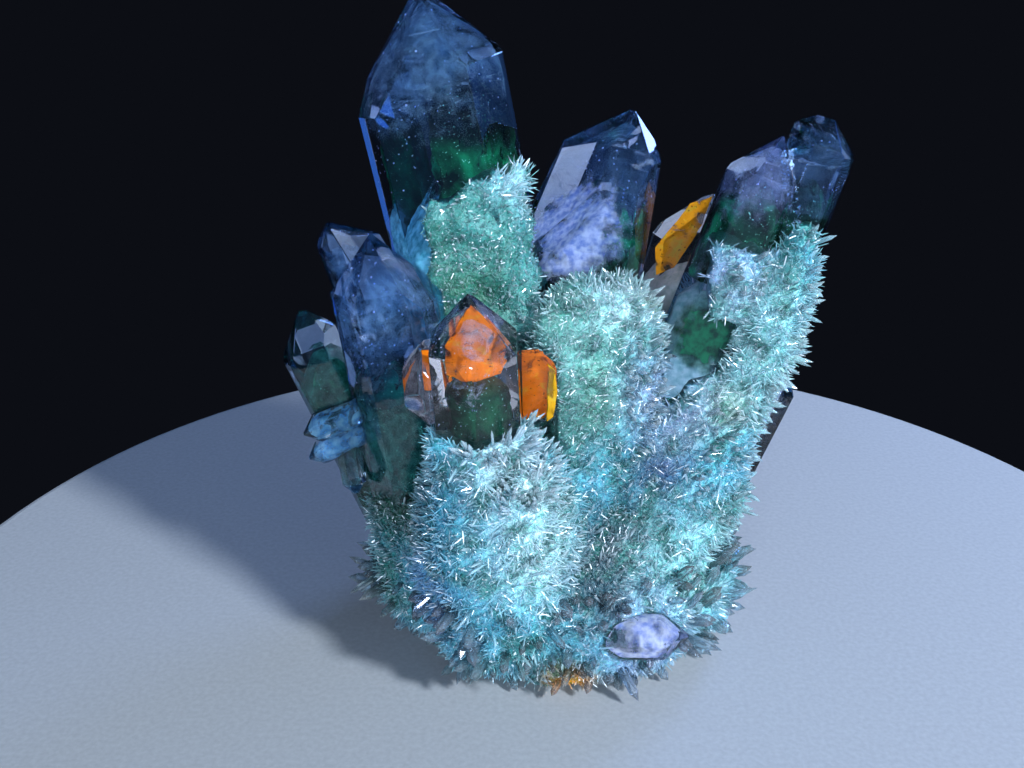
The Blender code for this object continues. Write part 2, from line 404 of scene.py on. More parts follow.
@dataclass(frozen=True)
class MilkyVeil(Finish):
    """Milky quartz: planes and clouds of tiny bubbles along healed cracks.

    Lavender-white, denser in wisps and gone in between, so the crystal stays see-through around them. With a
    centre and a reach in mm it is one soft patch.
    """

    pale: str = "E9E6FF"
    shade: str = "8A90D0"
    patch_mm: float = 2.2
    most: float = 0.75
    start: float = 0.46
    relief: float = 0.7
    stir: float = 1.2
    centre: Triple = (0.0, 0.0, 0.0)
    reach: Triple = (0.0, 0.0, 0.0)
    tint_mm: float = 1.1
    relief_mm: float = 0.2

    def build(self, tree: bpy.types.NodeTree) -> None:
        """Draw the finish.

        Args:
            tree: The material's empty node tree.
        """
        wisps = self.grain(tree, self.patch_mm, 6.0, distortion=self.stir)
        colour = ramp(tree, self.grain(tree, self.tint_mm, 4.0), [(0.35, self.shade), (0.62, self.pale)])
        thick = add_node(
            tree, "ShaderNodeMapRange",
            {"From Min": self.start, "From Max": self.start + 0.2, "To Max": self.most}, {"Value": wisps},
        )
        bump = add_node(
            tree, "ShaderNodeBump", {"Strength": self.relief, "Distance": self.relief_mm * MM},
            {"Height": wisps},
        )
        shader = add_node(
            tree, "ShaderNodeBsdfPrincipled", {"Roughness": 0.6, "Specular IOR Level": 0.2},
            {"Base Color": colour, "Alpha": thick.outputs["Result"], "Normal": bump.outputs["Normal"]},
        )
        if any(self.reach):
            kept = add_node(
                tree, "ShaderNodeMath", {"operation": "MULTIPLY"},
                {0: thick.outputs["Result"], 1: self.patch(tree, self.centre, self.reach)},
            )
            tree.links.new(kept.outputs[0], shader.inputs["Alpha"])
        add_node(tree, "ShaderNodeOutputMaterial", links={"Surface": shader.outputs[0]})


@dataclass(frozen=True)
class IronStain(Finish):
    """Iron oxide, which seeps into cracks of the quartz as a rusty film.

    Strong orange where it is thin, with yellow edges and brown specks.
    """

    orange: str = "FF7A08"
    yellow: str = "FFC23A"
    brown: str = "7A2A02"
    least: float = 0.25
    patch_mm: float = 3.0
    speck_mm: float = 0.5
    speck_colour: str = "3A1802"

    def build(self, tree: bpy.types.NodeTree) -> None:
        """Draw the finish.

        Args:
            tree: The material's empty node tree.
        """
        patches = self.grain(tree, self.patch_mm, 5.0, distortion=0.8)
        colour = ramp(
            tree, patches,
            [(0.34, self.brown), (0.44, self.orange), (0.58, self.orange), (0.72, self.yellow)],
        )
        specks = self.grain(tree, self.speck_mm, 2.0)
        dark = add_node(tree, "ShaderNodeMapRange", {"From Min": 0.67, "From Max": 0.71}, {"Value": specks})
        stained = add_node(
            tree, "ShaderNodeMix", {"data_type": "RGBA", 7: linear(self.speck_colour)},
            {0: dark.outputs["Result"], 6: colour},
        )
        film = add_node(
            tree, "ShaderNodeMapRange",
            {"From Min": 0.34, "From Max": 0.5, "To Min": self.least, "To Max": 1.0}, {"Value": patches},
        )
        shader = add_node(
            tree, "ShaderNodeBsdfPrincipled", {"Roughness": 0.7, "Specular IOR Level": 0.1},
            {"Base Color": stained.outputs[2], "Alpha": film.outputs["Result"]},
        )
        add_node(tree, "ShaderNodeOutputMaterial", links={"Surface": shader.outputs[0]})


@dataclass(frozen=True)
class DrusyQuartz(Finish):
    """Drusy quartz: a carpet of tiny quartz needles, tinted sea green by chlorite in them.

    Each needle is glassy, deeper green at its root and painted paler towards its tip as a highlight, and its
    flat sides flash. A few are painted white as glints.
    """

    see_through: float = 0.42
    roughness: float = 0.06
    cloud_mm: float = 0.9
    tip_highlight_colour: str = "DDF0FA"

    def build(self, tree: bpy.types.NodeTree) -> None:
        """Draw the finish.

        Args:
            tree: The material's empty node tree.
        """
        growth = add_node(tree, "ShaderNodeAttribute", {"attribute_name": TINT})
        height = add_node(tree, "ShaderNodeAttribute", {"attribute_name": HEIGHT})
        clear = add_node(
            tree, "ShaderNodeMath", {"operation": "MULTIPLY", 1: self.see_through},
            {0: growth.outputs["Alpha"]},
        )
        paler = add_node(
            tree, "ShaderNodeMix", {"data_type": "RGBA", 7: linear(self.tip_highlight_colour)},
            {6: growth.outputs["Color"]},
        )
        # Painted highlight: the outer part of each needle is whitened towards its tip.
        whiten = add_node(
            tree, "ShaderNodeMapRange", {"From Min": 0.35, "From Max": 1.0, "To Max": 0.3},
            {"Value": height.outputs["Fac"]},
        )
        tree.links.new(whiten.outputs["Result"], paler.inputs[0])
        cloudy = self.grain(tree, self.cloud_mm, 2.0)
        haze = add_node(
            tree, "ShaderNodeMapRange", {"To Min": self.roughness * 0.5, "To Max": self.roughness * 1.6},
            {"Value": cloudy},
        )
        shader = add_node(
            tree, "ShaderNodeBsdfPrincipled", {"IOR": QUARTZ_IOR},
            {
                "Base Color": paler.outputs[2], "Roughness": haze.outputs["Result"],
                "Transmission Weight": clear.outputs[0],
            },
        )
        add_node(tree, "ShaderNodeOutputMaterial", links={"Surface": shader.outputs[0]})


@dataclass(frozen=True)
class PrismQuartz(Finish):
    """Stubby quartz prisms, glassy, tinted by the druse at the root and paler towards the tip."""

    colour: str = "EEF0F8"
    see_through: float = 0.93
    cloud_mm: float = 1.5
    paling: float = 0.65

    def build(self, tree: bpy.types.NodeTree) -> None:
        """Draw the finish.

        Args:
            tree: The material's empty node tree.
        """
        height = add_node(tree, "ShaderNodeAttribute", {"attribute_name": HEIGHT})
        growth = add_node(tree, "ShaderNodeAttribute", {"attribute_name": TINT})
        paling = add_node(
            tree, "ShaderNodeMath", {"operation": "MULTIPLY", 1: self.paling}, {0: height.outputs["Fac"]},
        )
        shaded = add_node(
            tree, "ShaderNodeMix", {"data_type": "RGBA", 7: linear(self.colour)},
            {0: paling.outputs[0], 6: growth.outputs["Color"]},
        )
        haze = add_node(
            tree, "ShaderNodeMapRange", {"To Min": 0.02, "To Max": 0.08},
            {"Value": self.grain(tree, self.cloud_mm, 3.0)},
        )
        shader = add_node(
            tree, "ShaderNodeBsdfPrincipled", {"IOR": QUARTZ_IOR, "Transmission Weight": self.see_through},
            {"Base Color": shaded.outputs[2], "Roughness": haze.outputs["Result"]},
        )
        add_node(tree, "ShaderNodeOutputMaterial", links={"Surface": shader.outputs[0]})


@dataclass(frozen=True)
class DruseBed(Finish):
    """Packed drusy quartz under the needles.

    It is milky, so light spreads in it, with green hollows and a rough skin. Its tint, from the zones and the
    pits, holds painted light and painted shade as well as colour.
    """

    spot_mm: float = 1.6
    rough_mm: float = 0.45
    relief_mm: float = 0.4
    spread_mm: float = 1.2

    def build(self, tree: bpy.types.NodeTree) -> None:
        """Draw the finish.

        Args:
            tree: The material's empty node tree.
        """
        growth = add_node(tree, "ShaderNodeAttribute", {"attribute_name": TINT})
        spots = self.grain(tree, self.spot_mm, 4.0, distortion=0.5)
        shade = ramp(tree, spots, [(0.3, "58B4A0"), (0.48, "CDF2EC"), (0.7, "FFFFFF")])
        colour = add_node(
            tree, "ShaderNodeMix", {"data_type": "RGBA", "blend_type": "MULTIPLY", 0: 0.8},
            {6: growth.outputs["Color"], 7: shade},
        )
        fine = self.grain(tree, self.rough_mm, 3.0)
        bump = add_node(
            tree, "ShaderNodeBump", {"Strength": 1.0, "Distance": self.relief_mm * MM}, {"Height": fine},
        )
        shader = add_node(
            tree, "ShaderNodeBsdfPrincipled",
            {
                "Roughness": 0.3, "IOR": QUARTZ_IOR, "Subsurface Weight": 1.0,
                "Subsurface Radius": (1.0, 1.3, 1.4), "Subsurface Scale": self.spread_mm * MM,
            },
            {"Base Color": colour.outputs[2], "Normal": bump.outputs["Normal"]},
        )
        add_node(tree, "ShaderNodeOutputMaterial", links={"Surface": shader.outputs[0]})


@dataclass(frozen=True)
class PaleFloor(Finish):
    """A painted board, pale and matt, with a fine tooth."""

    tooth_mm: float = 0.8

    def build(self, tree: bpy.types.NodeTree) -> None:
        """Draw the finish.

        Args:
            tree: The material's empty node tree.
        """
        tooth = self.grain(tree, self.tooth_mm, 3.0)
        colour = ramp(tree, tooth, [(0.3, "86898C"), (0.7, "909396")])
        shader = add_node(tree, "ShaderNodeBsdfPrincipled", {"Roughness": 0.7}, {"Base Color": colour})
        add_node(tree, "ShaderNodeOutputMaterial", links={"Surface": shader.outputs[0]})


# Meshes


def along(foot: Vector, apex: Vector) -> Matrix:
    """Tilt the Z axis onto foot to apex by the shortest turn.

    Args:
        foot: Where the axis starts.
        apex: What it points at.

    Returns:
        The matrix, with its origin at the foot.
    """
    turn = Vector((0, 0, 1)).rotation_difference(apex - foot).to_matrix().to_4x4()
    return Matrix.Translation(foot) @ turn


def cut_off(bm: bmesh.types.BMesh, place: Vector, normal: Vector, fill: bool = True) -> None:
    """Cut away what lies beyond a plane.

    Args:
        bm: The mesh to cut.
        place: A point of the plane.
        normal: Which way the part that goes lies.
        fill: Whether the cut is closed with a flat face.
    """
    geometry = bm.verts[:] + bm.edges[:] + bm.faces[:]
    result = bmesh.ops.bisect_plane(bm, geom=geometry, plane_co=place, plane_no=normal, clear_outer=True)
    rim = [item for item in result["geom_cut"] if isinstance(item, bmesh.types.BMEdge)]
    if fill and rim:
        bmesh.ops.holes_fill(bm, edges=rim, sides=0)


def hull_of(bm: bmesh.types.BMesh) -> bmesh.types.BMesh:
    """Take the convex solid on the corners of a mesh, which closes what a cut through a corner leaves open.

    Args:
        bm: The mesh, which is freed.

    Returns:
        The convex solid.
    """
    hull = bmesh.new()
    for vert in bm.verts:
        hull.verts.new(vert.co)
    bm.free()
    bmesh.ops.remove_doubles(hull, verts=hull.verts, dist=SLIVER)
    result = bmesh.ops.convex_hull(hull, input=hull.verts)
    loose = result["geom_interior"] + result["geom_unused"]
    bmesh.ops.delete(
        hull, geom=[item for item in loose if isinstance(item, bmesh.types.BMVert)], context="VERTS",
    )
    bmesh.ops.dissolve_limit(hull, angle_limit=FLAT, verts=hull.verts, edges=hull.edges)
    return hull


def poured(bm: bmesh.types.BMesh, whole: bmesh.types.BMesh) -> None:
    """Add a mesh to another one.

    Args:
        bm: The mesh, which is freed.
        whole: The mesh that gets it.
    """
    part = bpy.data.meshes.new("part")
    bm.to_mesh(part)
    bm.free()
    whole.from_mesh(part)
    bpy.data.meshes.remove(part)


def shade_smooth(bm: bmesh.types.BMesh) -> None:
    """Shade every face of a mesh smooth."""
    for face in bm.faces:
        face.smooth = True


def new_object(name: str, mesh: bpy.types.Mesh) -> bpy.types.Object:
    """Put a mesh in the scene.

    Args:
        name: The object's name.
        mesh: Its mesh.

    Returns:
        The new object, at the origin.
    """
    made = bpy.data.objects.new(name, mesh)
    bpy.context.scene.collection.objects.link(made)
    return made


def object_from(name: str, bm: bmesh.types.BMesh) -> bpy.types.Object:
    """Put a bmesh in the scene, its faces turned outwards.

    Args:
        name: The object's name.
        bm: The mesh, which is freed.

    Returns:
        The new object.
    """
    bmesh.ops.recalc_face_normals(bm, faces=bm.faces)
    mesh = bpy.data.meshes.new(name)
    bm.to_mesh(mesh)
    bm.free()
    return new_object(name, mesh)


def taken(obj: bpy.types.Object) -> bmesh.types.BMesh:
    """Read an object with its modifiers into a bmesh and delete the object.

    Args:
        obj: A helper that isn't needed any more.

    Returns:
        Its finished mesh.
    """
    bpy.context.view_layer.update()
    evaluated = obj.evaluated_get(bpy.context.evaluated_depsgraph_get())
    bm = bmesh.new()
    bm.from_mesh(evaluated.to_mesh())
    evaluated.to_mesh_clear()
    mesh = obj.data
    bpy.data.objects.remove(obj)
    bpy.data.meshes.remove(mesh)
    return bm


def remeshed(bm: bmesh.types.BMesh, voxel_mm: float) -> bmesh.types.BMesh:
    """Rebuild closed shells that may overlap as one even skin.

    Args:
        bm: The shells, which are freed.
        voxel_mm: The width of one face of the skin.

    Returns:
        The skin.
    """
    helper = object_from("remesh_helper", bm)
    modifier = helper.modifiers.new("even skin", "REMESH")
    modifier.mode = "VOXEL"
    modifier.voxel_size = voxel_mm * MM
    return taken(helper)


def finished(obj: bpy.types.Object, finish: Finish) -> bpy.types.Object:
    """Dress a piece and tie it to the cluster's body.

    Args:
        obj: The piece.
        finish: Its material.

    Returns:
        The piece.
    """
    obj.data.materials.clear()
    obj.data.materials.append(finish.material())
    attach(obj, BODY)
    obj.data.calc_loop_triangles()
    LOG.info("%s: %d triangles, %s", obj.name, len(obj.data.loop_triangles), finish.name)
    return obj


# The clear points


# Half the width of the block that each point is cut from.
BLANK_HALF_WIDTH = 20.0


@dataclass
class QuartzPoint:
    """One clear point, cut from a block by six side planes and six tip planes."""

    foot: Triple
    apex: Triple
    turn: float
    sides: tuple[float, ...]
    cuts: tuple[float, ...]
    both_ends: bool = False

    def length(self) -> float:
        """The length of the axis, in mm."""
        return (Vector(self.apex) - Vector(self.foot)).length

    def stand(self) -> Matrix:
        """The matrix from the point's own upright frame to the cluster's."""
        return along(Vector(self.foot) * MM, Vector(self.apex) * MM)

    def direction(self) -> Vector:
        """The unit vector from the foot to the apex."""
        return (Vector(self.apex) - Vector(self.foot)).normalized()

    def local_planes(self, inset: float = 0.0, drop: float = 0.0) -> list[Plane]:
        """The planes of the faces, in the point's own frame.

        Args:
            inset: How far the side and tip faces are moved inwards, in mm.
            drop: How far the tip faces are lowered besides, in mm.

        Returns:
            A place and an outward normal for each plane.
        """
        planes = []
        top = self.length() - drop
        for number, (side, cut) in enumerate(zip(self.sides, self.cuts)):
            angle = math.radians(self.turn - 90) + number * math.tau / SIDES
            across = Vector((math.cos(angle), math.sin(angle), 0))
            planes.append((across * (side - inset) * MM, across))
            slope = across * math.sin(TIP_FACE_LEAN)
            rise = Vector((0, 0, math.cos(TIP_FACE_LEAN)))
            planes.append((Vector((0, 0, top - cut)) * MM - (slope + rise) * inset * MM, slope + rise))
            if self.both_ends:
                planes.append((Vector((0, 0, cut)) * MM - (slope - rise) * inset * MM, slope - rise))
        return planes

    def planes(self, inset: float = 0.0, drop: float = 0.0) -> list[Plane]:
        """The planes of the faces, in the cluster's frame.

        Args:
            inset: How far the side and tip faces are moved inwards, in mm.
            drop: How far the tip faces are lowered besides, in mm.

        Returns:
            A place and an outward normal for each plane.
        """
        stand = self.stand()
        turn = stand.to_3x3()
        return [(stand @ place, turn @ normal) for place, normal in self.local_planes(inset, drop)]

    def solid(self, inset: float = 0.0, drop: float = 0.0, low: float = 0.0) -> bmesh.types.BMesh:
        """The closed solid of the point.

        Args:
            inset: How far the faces are moved inwards, in mm.
            drop: How far the tip is lowered besides, in mm.
            low: How far above the foot the solid starts, in mm.

        Returns:
            The solid, in the cluster's frame.
        """
        bm = bmesh.new()
        half, high = BLANK_HALF_WIDTH * MM, self.length() * MM
        stretch = Matrix.Diagonal((half, half, (high - low * MM) / 2, 1))
        block = Matrix.Translation((0, 0, (high + low * MM) / 2)) @ stretch
        bmesh.ops.create_cube(bm, size=2.0, matrix=block)
        for place, normal in self.local_planes(inset, drop):
            cut_off(bm, place, normal)
        bm = hull_of(bm)
        bmesh.ops.transform(bm, matrix=self.stand(), verts=bm.verts)
        return bm

    def slice_off(self, bm: bmesh.types.BMesh, slices: Slices) -> None:
        """Cut away what lies beyond planes in the point's own frame.

        Args:
            bm: The mesh to cut, in the cluster's frame.
            slices: Each plane's outward normal, and how far from the foot it is along that, in mm.
        """
        stand = self.stand()
        for normal, reach in slices:
            out = (stand.to_3x3() @ Vector(normal)).normalized()
            cut_off(bm, stand @ (Vector(normal).normalized() * reach * MM), out)


# The clear points: foot and apex of the long axis, the turn about it in degrees, how far each of the six side
# faces stands from it, and how far each of the six tip faces is cut below a regular pyramid. All in mm.
POINTS: dict[str, QuartzPoint] = {
    "tall_point": QuartzPoint(
        (-5.2, 6, 8), (-24.2, 5, 103.3), 0, (9.5, 10.3, 9.6, 9.5, 7.4, 11.5), (0.2, 0, 0, 0.6, 3.2, 3.0),
    ),
    "centre_point": QuartzPoint(
        (-3.6, 9, 8), (5.6, 9, 89.4), 0, (8.5, 9.6, 7.3, 8.5, 7.4, 11.6), (5.5, 0, 0, 4.1, 1.0, 10.7),
    ),
    "amber_back_point": QuartzPoint(
        (8, 12, 12), (22.8, 14, 71.2), -10, (5.0, 6.5, 5.0, 5.0, 5.5, 5.6), (1, 0, 0, 1, 1.5, 3),
    ),
    "leaning_point": QuartzPoint(
        (3, -9, 6), (31.0, 2, 81.6), 0, (5.2, 5.4, 4.6, 5.2, 4.8, 5.6), (0.6, 0, 0, 0.6, 0.8, 0.8),
    ),
    "leaning_twin": QuartzPoint(
        (17.9, -1, 12), (39.7, 3, 87.1), 0, (4.5, 4.2, 5.0, 4.5, 4.8, 4.7), (2.4, 3.5, 0, 5.6, 0, 0),
    ),
    "left_point": QuartzPoint(
        (-21, -4, 6), (-29.2, -5, 69.9), 8, (7.0, 7.6, 7.0, 7.0, 6.8, 7.4), (0.5, 2.5, 2.5, 0, 1, 0),
    ),
    "left_back_point": QuartzPoint(
        (-20, 5, 14), (-35.9, 4, 70.9), 0, (4.6, 5.9, 5.4, 4.6, 4.2, 4.8), (3.2, 6.2, 0.6, 2.4, 0, 0),
    ),
    "left_small_point": QuartzPoint(
        (-25, 0, 12), (-41.7, -2, 55.6), 0, (3.8, 3.6, 3.4, 3.8, 4.8, 5.6), (1, 0, 0, 0.5, 0, 0),
    ),
    "left_stub": QuartzPoint(
        (-30, -5, 40.5), (-42.0, -6.5, 36), 20, (2.3, 2.0, 2.3, 2.0, 2.3, 2.0), (0, 0.3, 0, 0, 0.4, 0),
    ),
    "left_lower_stub": QuartzPoint(
        (-30, -5, 37), (-41.3, -7, 32), 20, (1.8, 1.7, 1.8, 1.7, 1.8, 1.7), (0, 0.3, 0, 0, 0.4, 0),
    ),
    "left_hanging_stub": QuartzPoint(
        (-35.4, -5, 37), (-33.8, -7, 25.5), 0, (1.7, 1.8, 1.7, 1.7, 1.7, 1.8), (0, 0.3, 0, 0, 0.4, 0),
    ),
    "front_point": QuartzPoint(
        (-12.0, -14, 8), (-14.7, -21.5, 64.8), 30, (6.2, 6.0, 6.2, 6.2, 6.0, 6.2), (0.4, 0.8, 0, 0.4, 0, 0),
    ),
    "front_side_point": QuartzPoint(
        (-20.6, -17.4, 42.4), (-20.9, -18, 57.0), 30, (3.4, 3.7, 3.2, 3.4, 3.6, 3.2),
        (0.5, 0, 0, 0.5, 0, 0), True,
    ),
    "front_right_plate": QuartzPoint(
        (-5.2, -12, 36), (-6.2, -16.5, 56.0), 0, (1.8, 3.2, 2.6, 1.8, 2.2, 2.6), (2, 1, 1, 2, 0, 0),
    ),
    "right_small_point": QuartzPoint(
        (25.2, 2, 18), (36.0, 4.5, 43.8), 15, (3, 3.2, 3.2, 3, 3, 3), (0, 0.4, 0, 0, 0.5, 0),
    ),
    "lying_point": QuartzPoint(
        (2.6, -23.0, 10.0), (18.0, -25.0, 11.5), 10, (3.0, 3.2, 3.0, 3.0, 3.2, 3.0), (0, 0.3, 0, 0, 0.4, 0),
    ),
    "back_point": QuartzPoint(
        (-4, 12, 10), (-9.5, 27, 60.0), 18, (5.2, 5.4, 4.8, 5.2, 5.0, 5.4), (0, 1, 0, 0, 1.5, 0),
    ),
    "back_right_point": QuartzPoint(
        (8, 12, 10), (16.0, 27, 49.0), 3, (3.6, 4.2, 3.8, 3.6, 4.0, 3.8), (0, 0, 1, 0, 0, 0),
    ),
    "back_left_point": QuartzPoint(
        (-16, 10, 10), (-27.0, 21, 47.0), 25, (3.4, 4.0, 3.6, 3.4, 3.6, 3.8), (0, 0.6, 0, 0, 0, 1),
    ),
}


@dataclass
class ClearGrowth:
    """Clear points that grew into one another, joined as one piece of see-through quartz."""

    name: str
    members: tuple[str, ...]
    absorbs_per_m: float = 26.0
    absorbs_to: str = "7FA6F2"
    edge_mm: float = 0.12

    def build(self) -> bpy.types.Object:
        """Build and dress the piece.

        Returns:
            The points as one object.
        """
        first, *others = [self.member(name) for name in self.members]
        for other in others:
            join = first.modifiers.new("grown together", "BOOLEAN")
            join.operation, join.solver, join.object = "UNION", "EXACT", other
        bm = taken(first)
        for other in others:
            taken(other).free()
        bmesh.ops.remove_doubles(bm, verts=bm.verts, dist=SLIVER)
        piece = object_from(self.name, bm)
        axis = POINTS[self.members[0]].direction()
        finish = ClearQuartz(
            f"rock_crystal_{self.name}", tuple(axis), absorbs_to=self.absorbs_to,
            absorbs_per_m=self.absorbs_per_m,
        )
        return finished(piece, finish)

    def member(self, name: str) -> bpy.types.Object:
        """Make one point, its edges a little worn.

        Args:
            name: The point's name in the table.

        Returns:
            A helper object.
        """
        bm = POINTS[name].solid()
        bmesh.ops.bevel(
            bm, geom=bm.edges[:], offset=self.edge_mm * MM, affect="EDGES", segments=1, profile=0.5,
            material=-1, clamp_overlap=True,
        )
        return object_from(name, bm)


# The clear pieces, and the tint that absorption gives them in depth. The blue tints are painted reflection of
# blue light.
GROWTHS: tuple[ClearGrowth, ...] = (
    ClearGrowth("tall_point", ("tall_point",), absorbs_per_m=30.0, absorbs_to="4FA4EC"),
    ClearGrowth("centre_point", ("centre_point",), absorbs_per_m=22.0, absorbs_to="86A6EC"),
    ClearGrowth("amber_back_point", ("amber_back_point",), absorbs_per_m=30.0, absorbs_to="F0B070"),
    ClearGrowth(
        "leaning_points", ("leaning_point", "leaning_twin"), absorbs_per_m=26.0, absorbs_to="7CA8E8",
    ),
    ClearGrowth(
        "left_points", ("left_point", "left_back_point", "left_small_point"), absorbs_per_m=40.0,
        absorbs_to="48A4E0",
    ),
    ClearGrowth(
        "left_stubs", ("left_stub", "left_lower_stub", "left_hanging_stub"), absorbs_per_m=30.0,
        absorbs_to="8FD4F8",
    ),
    ClearGrowth(
        "front_points", ("front_point", "front_side_point", "front_right_plate"), absorbs_per_m=16.0,
        absorbs_to="F0C8B8",
    ),
    ClearGrowth("right_small_point", ("right_small_point",), absorbs_per_m=60.0, absorbs_to="6FB0E8"),
    ClearGrowth("lying_point", ("lying_point",), absorbs_per_m=40.0, absorbs_to="B8B4F0"),
    ClearGrowth("back_point", ("back_point",), absorbs_per_m=30.0, absorbs_to="86A8F0"),
    ClearGrowth("back_right_point", ("back_right_point",), absorbs_per_m=30.0, absorbs_to="86A8F0"),
    ClearGrowth("back_left_point", ("back_left_point",), absorbs_per_m=30.0, absorbs_to="86A8F0"),
)


# What grew inside the points


@dataclass
class Inclusion:
    """A lumpy mass inside a clear point, such as the phantom of an earlier stage of it, or a cloud."""

    name: str
    point: str
    finish: Finish
    slot: Slot
    drop: float
    inset: float = 1.1
    low: float = 0.0
    lump_mm: float = 0.8
    lump_spacing_mm: float = 4.0
    voxel_mm: float = 0.6
    slices: Slices = ()
    clearance: float = 0.35
    fine_share: float = 0.45
    fine_spacing: float = 0.28

    def build(self) -> bpy.types.Object:
        """Build and dress the mass.

        Returns:
            The mass, which stays a clearance inside the point's faces.
        """
        host = POINTS[self.point]
        bm = host.solid(self.inset, self.drop, self.low)
        host.slice_off(bm, self.slices)
        bm = remeshed(bm, self.voxel_mm)
        bm.normal_update()
        for vert in bm.verts:
            coarse = noise.noise(vert.co / (self.lump_spacing_mm * MM))
            fine = noise.noise(vert.co / (self.lump_spacing_mm * self.fine_spacing * MM))
            vert.co += vert.normal * (coarse + self.fine_share * fine) * self.lump_mm * MM
        for place, normal in host.planes(self.clearance):
            for vert in bm.verts:
                past = (vert.co - place).dot(normal)
                if past > 0:
                    vert.co -= normal * past
        shade_smooth(bm)
        return finished(object_from(self.name, bm), self.finish)


# How far apart in the noise the sheets of one point are, and how strong and how fine the small wrinkles are.
SHEET_STEP = 3.7
FINE_WRINKLE = 0.4
FINER = 2.9


@dataclass
class Veils:
    """Wrinkled sheets of milky quartz along healed cracks of a clear point."""

    name: str
    point: str
    sheets: tuple[Triple, ...]
    finish: Finish
    slot: Slot = Slot.MILKY
    thickness: float = 0.07
    wrinkle_mm: float = 0.7
    wrinkle_spacing_mm: float = 4.5
    width: float = 26.0
    squares: int = 30
    clearance: float = 0.3

    def build(self) -> bpy.types.Object:
        """Build and dress the sheets, each given by how far it is below the apex, its lean and its turn.

        Returns:
            The sheets as one object.
        """
        host = POINTS[self.point]
        whole = bmesh.new()
        for number, (below_apex, lean, turn) in enumerate(self.sheets):
            bm = bmesh.new()
            bmesh.ops.create_grid(
                bm, x_segments=self.squares, y_segments=self.squares, size=self.width / 2 * MM,
            )
            place = (
                host.stand() @ Matrix.Translation((0, 0, (host.length() - below_apex) * MM))
                @ Matrix.Rotation(math.radians(turn), 4, "Z") @ Matrix.Rotation(math.radians(lean), 4, "X")
            )
            bmesh.ops.transform(bm, matrix=place, verts=bm.verts)
            out = place.to_3x3() @ Vector((0, 0, 1))
            for vert in bm.verts:
                seed = vert.co / (self.wrinkle_spacing_mm * MM) + Vector((number * SHEET_STEP, 0, 0))
                wrinkle = noise.noise(seed) + FINE_WRINKLE * noise.noise(seed * FINER)
                vert.co += out * wrinkle * self.wrinkle_mm * MM
            for co, normal in host.planes(self.clearance):
                cut_off(bm, co, normal, fill=False)
            if bm.faces:
                bmesh.ops.recalc_face_normals(bm, faces=bm.faces)
                bmesh.ops.solidify(bm, geom=bm.faces[:], thickness=self.thickness * MM)
            poured(bm, whole)
        shade_smooth(whole)
        return finished(object_from(self.name, whole), self.finish)


# How much finer and lower than its waves the stirring is that makes a film's outline ragged.
STIR_FINER = 1.7
STIR_SHARE = 0.5


@dataclass
class Film:
    """A stained crack inside a clear point: a thin sheet with straight sides, a little wavy."""

    name: str
    corners: tuple[Triple, ...]
    finish: Finish
    slot: Slot
    thickness: float = 0.12
    wave_mm: float = 0.3
    wave_spacing_mm: float = 2.5
    halvings: int = 3

    def build(self) -> bpy.types.Object:
        """Build and dress the sheet.

        Returns:
            The sheet, with its own thickness.
        """
        bm = bmesh.new()
        for corner in self.corners:
            bm.verts.new(Vector(corner) * MM)
        bmesh.ops.contextual_create(bm, geom=bm.verts[:])
        bmesh.ops.triangulate(bm, faces=bm.faces[:])
        for _ in range(self.halvings):
            bmesh.ops.subdivide_edges(bm, edges=bm.edges[:], cuts=1, use_grid_fill=True)
        bm.normal_update()
        for vert in bm.verts:
            seed = vert.co / (self.wave_spacing_mm * MM)
            vert.co += vert.normal * noise.noise(seed) * self.wave_mm * MM
            vert.co += noise.noise_vector(seed * STIR_FINER) * STIR_SHARE * self.wave_mm * MM
        bmesh.ops.solidify(bm, geom=bm.faces[:], thickness=self.thickness * MM)
        return finished(object_from(self.name, bm), self.finish)


# Small crystals, repeated many times


# How many sides the small crystals have, and how much of their length is straight before the tip.
FORMS: dict[Shape, tuple[int, float]] = {Shape.NEEDLE: (4, 0.8), Shape.PRISM: (6, 0.74)}
# Their width at the root and where the tip starts, as radii of a crystal a unit wide.
ROOT_RADIUS = 0.5
NECK_RADIUS = 0.44


